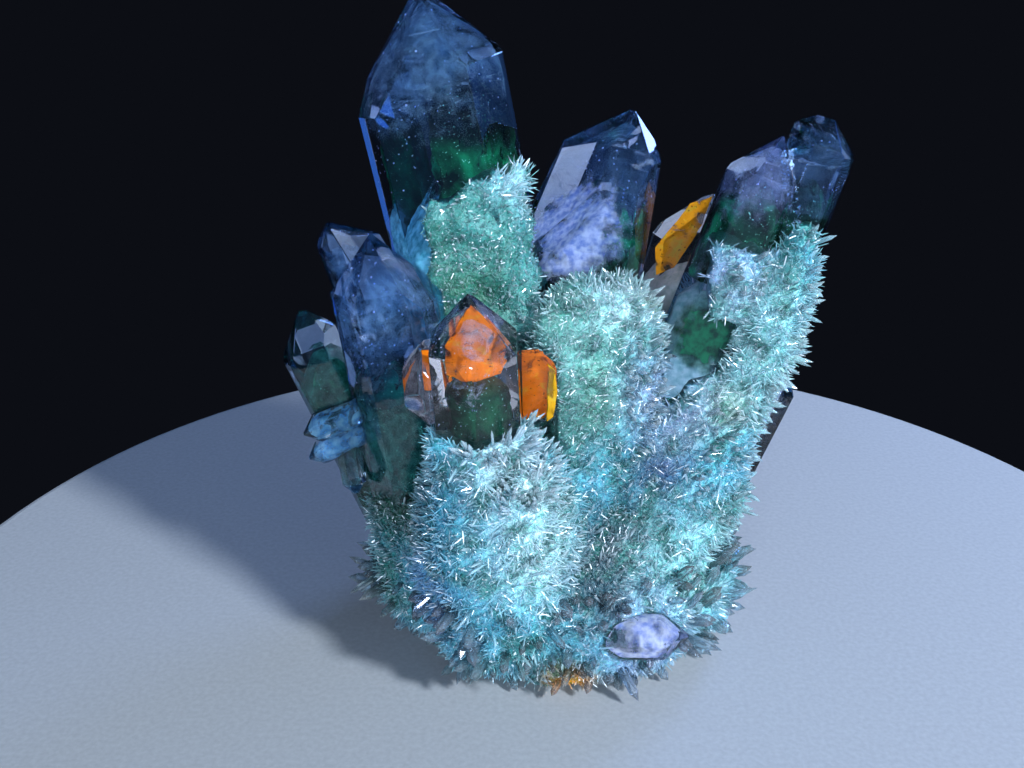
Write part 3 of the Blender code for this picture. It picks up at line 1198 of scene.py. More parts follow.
@dataclass
class Repeated:
    """A small crystal made once and then set at many places in one mesh."""

    shape: Shape
    verts: np.ndarray = field(init=False)
    loops: np.ndarray = field(init=False)
    sizes: np.ndarray = field(init=False)
    heights: np.ndarray = field(init=False)

    def __post_init__(self) -> None:
        """Make the one crystal, a unit long and a unit wide, and read its mesh."""
        bm = bmesh.new()
        if self.shape is Shape.FLAKE:
            bmesh.ops.create_cone(
                bm, cap_ends=True, segments=4, radius1=ROOT_RADIUS, radius2=0.0, depth=0.5,
                matrix=Matrix.Translation((0, 0, 0.75)),
            )
            base = min(bm.faces, key=lambda face: face.calc_center_median().z)
            bmesh.ops.poke(bm, faces=[base])["verts"][0].co.z = 0.0
        else:
            segments, straight = FORMS[self.shape]
            bmesh.ops.create_cone(
                bm, cap_ends=True, segments=segments, radius1=ROOT_RADIUS, radius2=NECK_RADIUS,
                depth=straight, matrix=Matrix.Translation((0, 0, straight / 2)),
            )
            top = max(
                (face for face in bm.faces if len(face.verts) == segments and abs(face.normal.z) > 0.9),
                key=lambda face: face.calc_center_median().z,
            )
            bmesh.ops.poke(bm, faces=[top])["verts"][0].co.z = 1.0
        bmesh.ops.recalc_face_normals(bm, faces=bm.faces)
        bm.verts.index_update()
        self.verts = np.array([vert.co[:] for vert in bm.verts])
        self.loops = np.array([vert.index for face in bm.faces for vert in face.verts])
        self.sizes = np.array([len(face.verts) for face in bm.faces])
        self.heights = np.clip(self.verts[:, 2], 0, 1)
        bm.free()

    def mesh(self, name: str, frames: np.ndarray, tints: np.ndarray) -> bpy.types.Mesh:
        """Set the crystal at many places.

        Args:
            name: The mesh's name.
            frames: A 3 by 4 matrix for each place, from the crystal's own frame.
            tints: A linear colour for each place, with or without an alpha for how clear the crystal is.

        Returns:
            One mesh of closed crystals, with their tint and height as attributes.
        """
        count, corners = len(frames), len(self.verts)
        places = np.einsum("nij,vj->nvi", frames[:, :, :3], self.verts) + frames[:, None, :, 3]
        loops = (self.loops[None, :] + np.arange(count)[:, None] * corners).ravel()
        starts = np.concatenate([[0], np.cumsum(np.tile(self.sizes, count))[:-1]])
        mesh = bpy.data.meshes.new(name)
        mesh.vertices.add(count * corners)
        mesh.vertices.foreach_set("co", places.astype(np.float32).ravel())
        mesh.loops.add(len(loops))
        mesh.loops.foreach_set("vertex_index", loops.astype(np.int32))
        mesh.polygons.add(len(starts))
        mesh.polygons.foreach_set("loop_start", starts.astype(np.int32))
        mesh.update(calc_edges=True)
        colours = np.ones((count, corners, 4), np.float32)
        colours[:, :, : tints.shape[1]] = tints[:, None, :]
        mesh.attributes.new(TINT, "FLOAT_COLOR", "POINT").data.foreach_set("color", colours.ravel())
        mesh.shade_flat()
        heights = np.tile(self.heights, count).astype(np.float32)
        mesh.attributes.new(HEIGHT, "FLOAT", "POINT").data.foreach_set("value", heights)
        return mesh


def rows_of(items: bpy.types.bpy_prop_collection, name: str, kind: type = np.float64) -> np.ndarray:
    """Read a property of three numbers from every item.

    Args:
        items: The items, such as a mesh's vertices.
        name: The property.
        kind: The kind of number.

    Returns:
        A row for each item.
    """
    values = np.zeros(len(items) * 3, kind)
    items.foreach_get(name, values)
    return values.reshape(-1, 3)


def unit(vectors: np.ndarray) -> np.ndarray:
    """Scale each row to a length of one."""
    return vectors / np.maximum(np.linalg.norm(vectors, axis=1, keepdims=True), 1e-12)


def standing(
    places: np.ndarray, ways: np.ndarray, lengths: np.ndarray, widths: np.ndarray, rng: np.random.Generator,
) -> np.ndarray:
    """The frames of small crystals that stand at places and point some way.

    Args:
        places: The root of each crystal.
        ways: The unit vector that each one points along.
        lengths: Their lengths.
        widths: Their widths.
        rng: What turns each one about its axis.

    Returns:
        A 3 by 4 matrix for each crystal.
    """
    random_way = rng.normal(size=ways.shape)
    side = unit(np.cross(ways, random_way))
    other = np.cross(ways, side)
    frames = np.zeros((len(places), 3, 4))
    frames[:, :, 0] = side * widths[:, None]
    frames[:, :, 1] = other * widths[:, None]
    frames[:, :, 2] = ways * lengths[:, None]
    frames[:, :, 3] = places
    return frames


@dataclass
class Zone:
    """A round part of the druse with a tint and a share of the usual needle length."""

    name: str
    centre: Triple
    radius: float
    colour: str
    strength: float = 1.0
    longer: float = 1.0

    def nearness(self, places: np.ndarray) -> np.ndarray:
        """Tell how much places belong to the zone.

        Args:
            places: Where, in metres.

        Returns:
            1 well inside it, falling to 0 at its end.
        """
        away = np.linalg.norm(places - np.array(self.centre) * MM, axis=1) / (self.radius * MM)
        return np.clip(ZONE_END - away, 0, 1)


# The zones of the druse, the later over the earlier: middle and radius in mm, colour, strength and share of
# the usual needle length. Some colours are painted light and painted shade, as marked below.
ZONES: tuple[Zone, ...] = (
    # Painted shade over a blue tint: the left flank of the mound lies away from the key light.
    Zone("blue left flank of the mound in painted shade", (-22, -22, 28), 12, "4C98B4", 0.8),
    # Painted light: the crest and the right side of the mound face the key light, so they are painted white.
    Zone("painted highlight on the crest of the mound", (-9, -26, 40), 8, "D8F2F8", 0.9, 1.2),
    Zone("painted light on the right side of the mound", (-4, -26, 27), 10, "D6F6F8", 0.9, 1.2),
    Zone("mint druse up the tall point", (-15, -6, 66), 17, "4C9488", 0.85, 0.6),
    Zone("green foot of it", (-16, -5, 56), 10, "2C7C5C", 0.9, 0.6),
    Zone("white tuft at its top right", (-9, 0, 75), 5, "C0ECF4", 0.9, 1.15),
    Zone("grey green saddle", (2, -12, 44), 10, "6F9E8E", 0.8, 0.8),
    Zone("pale middle mound", (1, -11, 56), 10, "A6DCCB", 0.7, 0.9),
    # Painted highlight: the crest of the middle mound faces the key light.
    Zone("painted highlight on the crest of the middle mound", (8.3, -8, 60), 7, "DCF4F8", 0.9, 1.2),
    Zone("olive spill under the amber point", (15.5, -5, 58), 5, "A8A04C", 0.7),
    # Painted shade down the gully, and over the lavender at its top.
    Zone("painted shade in the gully", (3, -19, 15), 8, "0E3040", 1.0, 0.8),
    Zone("painted shade in the gully further up", (7.5, -18, 23), 8, "12303F", 1.0, 0.8),
    Zone("lavender top of the gully in painted shade", (13, -16, 34), 7, "3A5484", 0.9, 0.8),
    Zone("lavender face of the leaning point", (16, -12, 45), 9, "B9BCE0", 0.8),
    Zone("lavender needles on its face", (23, -6, 61), 7, "B0BEE8", 0.9, 0.8),
    Zone("green patch under it", (21, -9, 53), 5, "1F6E4C", 0.7),
    Zone("yellow tinge", (24, -10, 42.5), 4, "C9C98A", 0.6),
    # Painted light on the right column and the right foot, which face the key light.
    Zone("painted light on the right column", (29, -5, 50), 13, "C4F4F2", 0.85, 1.2),
    Zone("painted light on the right foot", (20, -16, 18), 12, "BCF0F2", 0.85, 1.1),
    # Painted shade in the hollows on the left, which lie away from the key light.
    Zone("painted shade in the left hollow", (-27, -9, 27), 12, "14503E", 1.0),
    Zone("green hollow low left in painted shade", (-29, -14, 12), 6, "1C6B4B", 0.8),
    Zone("blue low left", (-20, -22, 17), 8, "6FA8DC", 0.8),
    Zone("lavender low right", (12, -24, 8), 9, "B4BCE2", 0.8),
    # Painted shade where the druse meets the foot of the centre point.
    Zone("painted shade at the foot of the centre point", (7, 0, 62), 7, "1D6B56", 0.8),
    Zone("olive foot", (-2, -22, 3), 7, "565E40", 0.8),
    Zone("orange stain", (0, -24.5, 3), 4.2, "F4A418", 1.0, 0.7),
)
DRUSE_COLOUR = "6FC6DA"
# How much of the light the druse gives back, against the colours above.
DRUSE_DEPTH = 0.79
# How wide the greener and paler patches of the druse are, and the colour of the green ones.
PATCH_MM = 7.0
PATCH_COLOUR = "3E9C88"
# The width of the pits between the lumps, and the chlorite green in them, darker than the druse as painted
# shade.
PIT_MM = 2.7
PIT_GREEN_AND_SHADE = "2E8078"
# How strongly the noise of the patches and of the pits shows, and the most of it that does.
PATCH_GAIN = 1.6
PATCH_MOST = 0.7
PIT_GAIN = 1.8
PIT_MOST = 0.75
# How much more neighbours differ in light than the spread, and how much less in hue.
LIGHT_SPREAD = 2.2
HUE_SPREAD = 0.4
# Where a zone ends, as a share of its radius, and how its strength falls off before that.
ZONE_END = 1.35
ZONE_FALL = 1.2
# The chlorite that stains the druse where a clear point covers it.
INNER_COLOUR = "0C4A40"
INNER_ZONES: tuple[Zone, ...] = (
    Zone("teal behind the left face of the tall point", (-23, 1, 56), 17, "348CA0", 1.0),
    Zone("pale behind the leaning point's face", (20, -5, 55), 9, "8CA8C4", 1.0),
)


def mixed(tints: np.ndarray, hex_colour: str, shares: np.ndarray) -> np.ndarray:
    """Mix a colour into tints.

    Args:
        tints: A linear colour for each place.
        hex_colour: The colour.
        shares: How much of it each place gets.

    Returns:
        The mixed tints.
    """
    return tints + (np.array(linear(hex_colour)[:3]) - tints) * shares[:, None]


def blend_zones(tints: np.ndarray, places: np.ndarray, zones: tuple[Zone, ...]) -> np.ndarray:
    """Blend the colours of zones into the tints of the places near them.

    Args:
        tints: A linear colour for each place.
        places: Where, in metres.
        zones: The zones, the later over the earlier.

    Returns:
        The blended tints.
    """
    for zone in zones:
        share = zone.nearness(places) ** ZONE_FALL * zone.strength
        tints = mixed(tints, zone.colour, np.clip(share, 0, 1))
    return tints


def inner_tints(places: np.ndarray) -> np.ndarray:
    """Tint the druse at places that a clear point covers.

    Args:
        places: Where, in metres.

    Returns:
        A linear colour for each place.
    """
    return blend_zones(np.tile(linear(INNER_COLOUR)[:3], (len(places), 1)), places, INNER_ZONES)


def noise_at(places: np.ndarray, spacing_mm: float) -> np.ndarray:
    """Read the noise at places.

    Args:
        places: Where, in metres.
        spacing_mm: How wide one patch of the noise is.

    Returns:
        A value from about -1 to 1 for each place.
    """
    return np.array([noise.noise(Vector(place) / (spacing_mm * MM)) for place in places])


def zone_tints(places: np.ndarray, rng: np.random.Generator, spread: float = 0.07) -> np.ndarray:
    """The tint of the druse at places, from the zones around them, with the painted light and shade that they
    hold.

    Args:
        places: Where, in metres.
        rng: What makes neighbours differ.
        spread: How much they differ.

    Returns:
        A linear colour for each place.
    """
    tints = np.tile(linear(DRUSE_COLOUR)[:3], (len(places), 1))
    tints = mixed(tints, PATCH_COLOUR, np.clip(noise_at(places, PATCH_MM) * PATCH_GAIN, 0, PATCH_MOST))
    # Some zones are painted light and painted shade.
    tints = blend_zones(tints, places, ZONES)
    # The pits get a darker green: partly chlorite, partly painted shade.
    tints = mixed(tints, PIT_GREEN_AND_SHADE, np.clip(-noise_at(places, PIT_MM) * PIT_GAIN, 0, PIT_MOST))
    tints *= DRUSE_DEPTH * np.exp(rng.normal(0, spread * LIGHT_SPREAD, (len(places), 1)))
    return np.clip(tints * np.exp(rng.normal(0, spread * HUE_SPREAD, (len(places), 3))), 0, 1)


def zone_lengths(places: np.ndarray) -> np.ndarray:
    """Tell how long the needles are at places.

    Args:
        places: Where, in metres.

    Returns:
        A share of the usual length for each place.
    """
    longer = np.ones(len(places))
    for zone in ZONES:
        longer += (zone.longer - longer) * zone.nearness(places)
    return longer


# How far below its foot a clear point still counts as one, in mm.
FOOT_SLACK = 0.5


def inside_points(places: np.ndarray, margin: float = 0.0) -> np.ndarray:
    """Whether places lie inside a clear point.

    Args:
        places: Where, in metres.
        margin: How deep, in mm, a place lies before it counts.

    Returns:
        True for each place that lies inside.
    """
    inside = np.zeros(len(places), bool)
    for point in POINTS.values():
        foot = np.array(point.foot) * MM
        within = (places - foot) @ np.array(point.direction()) > -FOOT_SLACK * MM
        for co, normal in point.planes(margin):
            within &= (places - np.array(co)) @ np.array(normal) < 0
        inside |= within
    return inside


@dataclass
class Mass:
    """A rounded mass of druse: its centre, its radii and its lean to the right."""

    centre: Triple
    radii: Triple
    lean: float = 0.0


@dataclass
class Crust:
    """A crust of druse on some faces of a clear point, cut by planes in the point's own frame."""

    point: str
    outset: float
    low: float
    drop: float
    slices: Slices
    lump_mm: float = 0.7
    lump_spacing_mm: float = 3.4
    fine_lump_share: float = 0.4
    fine_lump_spacing_mm: float = 1.4

    def build(self, voxel_mm: float) -> bmesh.types.BMesh:
        """Make the lumpy crust.

        Args:
            voxel_mm: The width of one face of its skin.

        Returns:
            Its closed mesh.
        """
        host = POINTS[self.point]
        bm = host.solid(-self.outset, self.drop, self.low)
        host.slice_off(bm, self.slices)
        bm = remeshed(bm, voxel_mm)
        bm.normal_update()
        for vert in bm.verts:
            fine = self.fine_lump_share * noise.noise(vert.co / (self.fine_lump_spacing_mm * MM))
            lump = noise.noise(vert.co / (self.lump_spacing_mm * MM)) + fine
            vert.co += vert.normal * lump * self.lump_mm * MM
        return bm


# How high a crystal's tip and its root stay above the resting face: a share of its width, and mm besides.
TIP_CLEARANCE = (0.45, 0.2)
ROOT_CLEARANCE = (0.5, 0.3)


@dataclass
class SpineLayer:
    """Small crystals of one kind on the druse.

    They stand between the heights low and high, in mm, and where around, within and facing are given, only
    on what faces that way inside that sphere. Their lean is in degrees, tuft says how much neighbours lean
    together, and a share of them is painted white as glints.
    """

    name: str
    shape: Shape
    count: int
    length: tuple[float, float]
    width: tuple[float, float]
    lean: float
    low: float
    high: float
    finish: Finish
    slot: Slot
    tuft: float = 0.5
    parts: int = 1
    painted_glints: float = 0.0
    around: Triple = (0.0, 0.0, 0.0)
    within: float = 1000.0
    facing: Triple = (0.0, 0.0, 0.0)


@dataclass
class Druse:
    """The druse that buries the lower ends of the points: its bed and the needles and prisms on it.

    The masses are lumpy as intergrown crystals are, and sunk a little, so that it is the needles that end
    where the druse does.
    """

    masses: tuple[Mass, ...] = (
        Mass((0, -2, 9), (27.5, 24, 16)),
        Mass((-11, -15, 21), (13, 14, 23), -3),
        Mass((2.5, -3.5, 38), (13.5, 11, 24), 8),
        Mass((15.5, -4, 25), (12, 11.5, 24), 20),
        Mass((27.2, -1, 46), (5.8, 9.5, 25), 19.5),
        Mass((-11.5, 3, 42), (12.2, 11.0, 26), -11),
        Mass((-12.3, -1.0, 52), (8.0, 4.4, 16.0), -11),
        Mass((-3, 11, 24), (19, 13, 24)),
        Mass((-22, -4, 15), (10, 13, 17), -10),
    )
    crusts: tuple[Crust, ...] = (
        Crust(
            "tall_point", outset=0.8, low=38, drop=18,
            slices=(((-0.14, 0, 1), 66.6), ((-1, 0, 0.22), 17.4), ((-0.35, 1, 0), -5.9)), lump_mm=2.0,
            lump_spacing_mm=4.2,
        ),
        Crust(
            "leaning_point", outset=0.7, low=53, drop=11.5,
            slices=(((-1, 0, -0.375), -17.8), ((0, 1, 0), -1.0)), lump_mm=0.9,
        ),
        Crust(
            "front_point", outset=0.9, low=20, drop=10,
            slices=(((0, 0, 1), 36.2), ((0, 1, 0), 1.0)), lump_mm=0.8,
        ),
    )
    lump_mm: float = 1.6
    lump_spacing_mm: float = 9.0
    fine_lump_mm: float = 1.1
    fine_lump_spacing: float = 0.3
    voxel_mm: float = 0.75
    sink_mm: float = 0.35
    floor_gap_mm: float = 0.05
    covered_mm: float = 0.2
    bed_spread: float = 0.02
    steepest: float = -0.8
    toward: float = 0.4
    spray_mm: float = 2.4
    scatter: float = 0.6
    upward: float = 0.22
    short_ones: float = 2.2
    root_mm: float = 0.5
    tip_margin_mm: float = 0.5
    root_margin_mm: float = 0.3
    past_box: float = 0.015
    seam_x_mm: float = -3.0
    # How clear the crystals that are painted white as glints stay, and how far towards white they are
    # painted.
    painted_glint_clear: float = 0.1
    painted_glint_white: float = 0.75
    seed: int = 11
    layers: tuple[SpineLayer, ...] = (
        SpineLayer(
            "needles", Shape.NEEDLE, 66000, length=(0.8, 2.7), width=(0.12, 0.25), lean=50, low=1.5,
            high=90, finish=DrusyQuartz("drusy_needles"), slot=Slot.DRUSE, tuft=0.9, parts=5, painted_glints=0.06,
        ),
        SpineLayer(
            "spears", Shape.PRISM, 2000, length=(1.8, 3.4), width=(0.28, 0.56), lean=46, low=1.0, high=78,
            finish=PrismQuartz("clear_spears", "E4F6FC", 0.6), slot=Slot.DRUSE, tuft=0.8,
        ),
        SpineLayer(
            "rim_prisms", Shape.PRISM, 340, length=(3.4, 6.6), width=(0.9, 2.0), lean=28, low=0.5, high=17,
            finish=PrismQuartz("clear_rim_prisms", "F0EEF4", 0.9), slot=Slot.CLEAR, tuft=0.3,
        ),
        SpineLayer(
            "right_edge_prisms", Shape.PRISM, 420, length=(2.0, 4.0), width=(0.5, 1.0), lean=24, low=16,
            high=78, finish=PrismQuartz("clear_edge_prisms", "ECF8FC", 0.72), slot=Slot.CLEAR, tuft=0.6,
            around=(34, -3, 46), within=28, facing=(1, -0.3, 0.1),
        ),
        SpineLayer(
            "crest_prisms", Shape.PRISM, 170, length=(2.0, 3.8), width=(0.4, 0.8), lean=26, low=30, high=52,
            finish=PrismQuartz("frosty_crest_prisms", "F0FAFF", 0.68), slot=Slot.CLEAR, tuft=0.8,
            around=(-7, -24, 42), within=9, facing=(0.3, -0.4, 1),
        ),
    )

    def mass(self, mass: Mass) -> bmesh.types.BMesh:
        """Make one lumpy mass.

        Args:
            mass: Its place and size.

        Returns:
            Its closed mesh.
        """
        bm = bmesh.new()
        bmesh.ops.create_icosphere(bm, subdivisions=5, radius=1.0)
        middle = Vector(mass.centre) * MM
        stretch = Matrix.Diagonal((*(Vector(mass.radii) * MM), 1))
        place = Matrix.Translation(middle) @ Matrix.Rotation(math.radians(mass.lean), 4, "Y") @ stretch
        bmesh.ops.transform(bm, matrix=place, verts=bm.verts)
        for vert in bm.verts:
            lump = noise.noise(vert.co / (self.lump_spacing_mm * MM)) * self.lump_mm - self.sink_mm
            finer = self.lump_spacing_mm * self.fine_lump_spacing * MM
            fine = noise.noise(vert.co / finer) * self.fine_lump_mm
            vert.co += (vert.co - middle).normalized() * (lump + fine) * MM
        return bm

    def bed(self) -> bpy.types.Object:
        """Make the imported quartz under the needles, flat underneath, which stands for the CAD node.

        Returns:
            The bed.
        """
        whole = bmesh.new()
        for mass in self.masses:
            poured(self.mass(mass), whole)
        for crust in self.crusts:
            poured(crust.build(self.voxel_mm), whole)
        bm = remeshed(whole, self.voxel_mm)
        cut_off(bm, Vector((0, 0, self.floor_gap_mm * MM)), Vector((0, 0, -1)))
        bmesh.ops.triangulate(bm, faces=bm.faces)
        shade_smooth(bm)
        piece = object_from("druse_bed", bm)
        mesh = piece.data
        places = rows_of(mesh.vertices, "co")
        tints = zone_tints(places, np.random.default_rng(self.seed), self.bed_spread)
        covered = inside_points(places, self.covered_mm)
        tints[covered] = inner_tints(places[covered])
        colours = np.ones((len(tints), 4), np.float32)
        colours[:, :3] = tints
        mesh.attributes.new(TINT, "FLOAT_COLOR", "POINT").data.foreach_set("color", colours.ravel())
        finished(piece, DruseBed("packed_drusy_quartz"))
        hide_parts(CLUSTER_NODE)
        return piece

    def sites(
        self, bed: bpy.types.Mesh, layer: SpineLayer, rng: np.random.Generator,
    ) -> tuple[np.ndarray, np.ndarray]:
        """Pick places all over the bed, each with the way out, where no clear point covers it.

        Args:
            bed: The bed's mesh.
            layer: The layer that needs them.
            rng: What picks them.

        Returns:
            The places and the outward unit vectors.
        """
        bed.calc_loop_triangles()
        points, normals = rows_of(bed.vertices, "co"), rows_of(bed.vertices, "normal")
        corners = rows_of(bed.loop_triangles, "vertices", np.int32)
        first, second, third = (points[corners[:, number]] for number in range(3))
        areas = np.linalg.norm(np.cross(second - first, third - first), axis=1)
        middles = points[corners].mean(axis=1)
        ways = unit(normals[corners].mean(axis=1))
        usable = (middles[:, 2] > layer.low * MM) & (middles[:, 2] < layer.high * MM)
        usable &= ways[:, 2] > self.steepest
        usable &= np.linalg.norm(middles - np.array(layer.around) * MM, axis=1) < layer.within * MM
        if any(layer.facing):
            usable &= ways @ np.array(Vector(layer.facing).normalized()) > self.toward
        areas = areas * usable * ~inside_points(middles, self.root_margin_mm)
        picked = rng.choice(len(areas), layer.count, p=areas / areas.sum())
        share = rng.dirichlet((1, 1, 1), layer.count)[:, :, None]
        places = (points[corners[picked]] * share).sum(axis=1)
        return places, unit((normals[corners[picked]] * share).sum(axis=1))

    def tufted(
        self, places: np.ndarray, ways: np.ndarray, layer: SpineLayer, rng: np.random.Generator,
    ) -> np.ndarray:
        """Lean the crystals, neighbours much the same way, as they grow in sprays.

        Args:
            places: Their roots.
            ways: The ways out of the bed.
            layer: Their layer.
            rng: What scatters them.

        Returns:
            The unit vectors that they point along.
        """
        spray = np.array([noise.noise_vector(Vector(place) / (self.spray_mm * MM))[:] for place in places])
        scatter = rng.normal(0, math.tan(math.radians(layer.lean)) * self.scatter, ways.shape)
        leaned = ways + spray * layer.tuft + scatter
        leaned[:, 2] += self.upward
        return unit(leaned)

    def grow(self, bed: bpy.types.Mesh, layer: SpineLayer, number: int) -> list[bpy.types.Object]:
        """Build and dress one layer.

        Args:
            bed: The bed's mesh.
            layer: The layer.
            number: Its number, for a pattern of its own.

        Returns:
            Its pieces.
        """
        rng = np.random.default_rng(self.seed + number)
        places, outward = self.sites(bed, layer, rng)
        ways = self.tufted(places, outward, layer, rng)
        least, most = layer.length
        shares = rng.random(len(places)) ** self.short_ones
        lengths = (least + (most - least) * shares) * MM * zone_lengths(places)
        widths = rng.uniform(*layer.width, len(places)) * MM
        roots = places - ways * self.root_mm * MM
        tips = roots + ways * lengths[:, None]
        low, high = (np.array(corner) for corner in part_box(CLUSTER_NODE))
        reach = (high - low) * self.past_box
        keep = ((tips > low - reach) & (tips < high + reach)).all(axis=1)
        keep &= tips[:, 2] > widths * TIP_CLEARANCE[0] + TIP_CLEARANCE[1] * MM
        keep &= roots[:, 2] > widths * ROOT_CLEARANCE[0] + ROOT_CLEARANCE[1] * MM
        keep &= ~inside_points(tips, self.tip_margin_mm) & ~inside_points(roots, self.root_margin_mm)
        places, ways, lengths, widths, roots = (
            values[keep] for values in (places, ways, lengths, widths, roots)
        )
        frames = standing(roots, ways, lengths, widths, rng)
        # Painted glints: a share of the crystals is painted white and nearly opaque.
        painted_glints = rng.random(len(places)) < layer.painted_glints
        clear = np.where(painted_glints, self.painted_glint_clear, 1.0)
        tints = np.concatenate([zone_tints(places, rng), clear[:, None]], axis=1)
        tints[painted_glints, :3] += (1 - tints[painted_glints, :3]) * self.painted_glint_white
        turn = np.arctan2(places[:, 0] - self.seam_x_mm * MM, -places[:, 1])
        order = np.argsort(turn)
        crystal = Repeated(layer.shape)
        pieces = []
        for part, chosen in enumerate(np.array_split(order, layer.parts)):
            name = layer.name if layer.parts == 1 else f"{layer.name}_{part + 1}"
            piece = new_object(name, crystal.mesh(name, frames[chosen], tints[chosen]))
            pieces.append(finished(piece, layer.finish))
        return pieces

    def build(self) -> None:
        """Build and dress the bed and every layer on it."""
        bed = self.bed()
        for number, layer in enumerate(self.layers):
            self.grow(bed.data, layer, number)


@dataclass
class Flecks:
    """Tiny bright flakes scattered inside a clear point."""

    name: str
    point: str
    count: int
    top: float
    bottom: float
    size: tuple[float, float] = (0.12, 0.4)
    flatness: float = 0.12
    margin: float = 0.7
    tries: int = 4
    colour: str = "EEF2FF"
    seed: int = 5

    def build(self) -> bpy.types.Object:
        """Build and dress the flakes, between the depths top and bottom below the apex, in mm.

        Returns:
            The flakes as one object.
        """
        host = POINTS[self.point]
        rng = np.random.default_rng(self.seed)
        stand = np.array(host.stand())
        wide = max(host.sides)
        tried = self.count * self.tries
        local = np.stack([
            rng.uniform(-wide, wide, tried), rng.uniform(-wide, wide, tried),
            host.length() - rng.uniform(self.top, self.bottom, tried),
        ], axis=1) * MM
        keep = np.ones(len(local), bool)
        for co, normal in host.local_planes(self.margin):
            keep &= (local - np.array(co)) @ np.array(normal) < 0
        local = local[keep][: self.count]
        places = local @ stand[:3, :3].T + stand[:3, 3]
        ways = unit(rng.normal(size=places.shape))
        widths = rng.uniform(*self.size, len(places)) * MM
        frames = standing(places, ways, widths * self.flatness, widths, rng)
        tints = np.tile(linear(self.colour)[:3], (len(places), 1))
        piece = new_object(self.name, Repeated(Shape.FLAKE).mesh(self.name, frames, tints))
        return finished(piece, MilkyVeil("milky_flecks", most=1.0, start=0.0))


# Floor, light and camera


@dataclass(frozen=True)
class Lamp:
    """A soft round lamp: where it hangs and how wide it is, in mm, its power in watts and its colour."""

    name: str
    place: Triple
    size: float
    power: float
    colour: str


@dataclass(frozen=True)
class Glow:
    """A soft patch of light in the room: which way it lies, how wide and how strong it is, and its colour."""

    way: Triple
    width: float
    colour: str
    strength: float


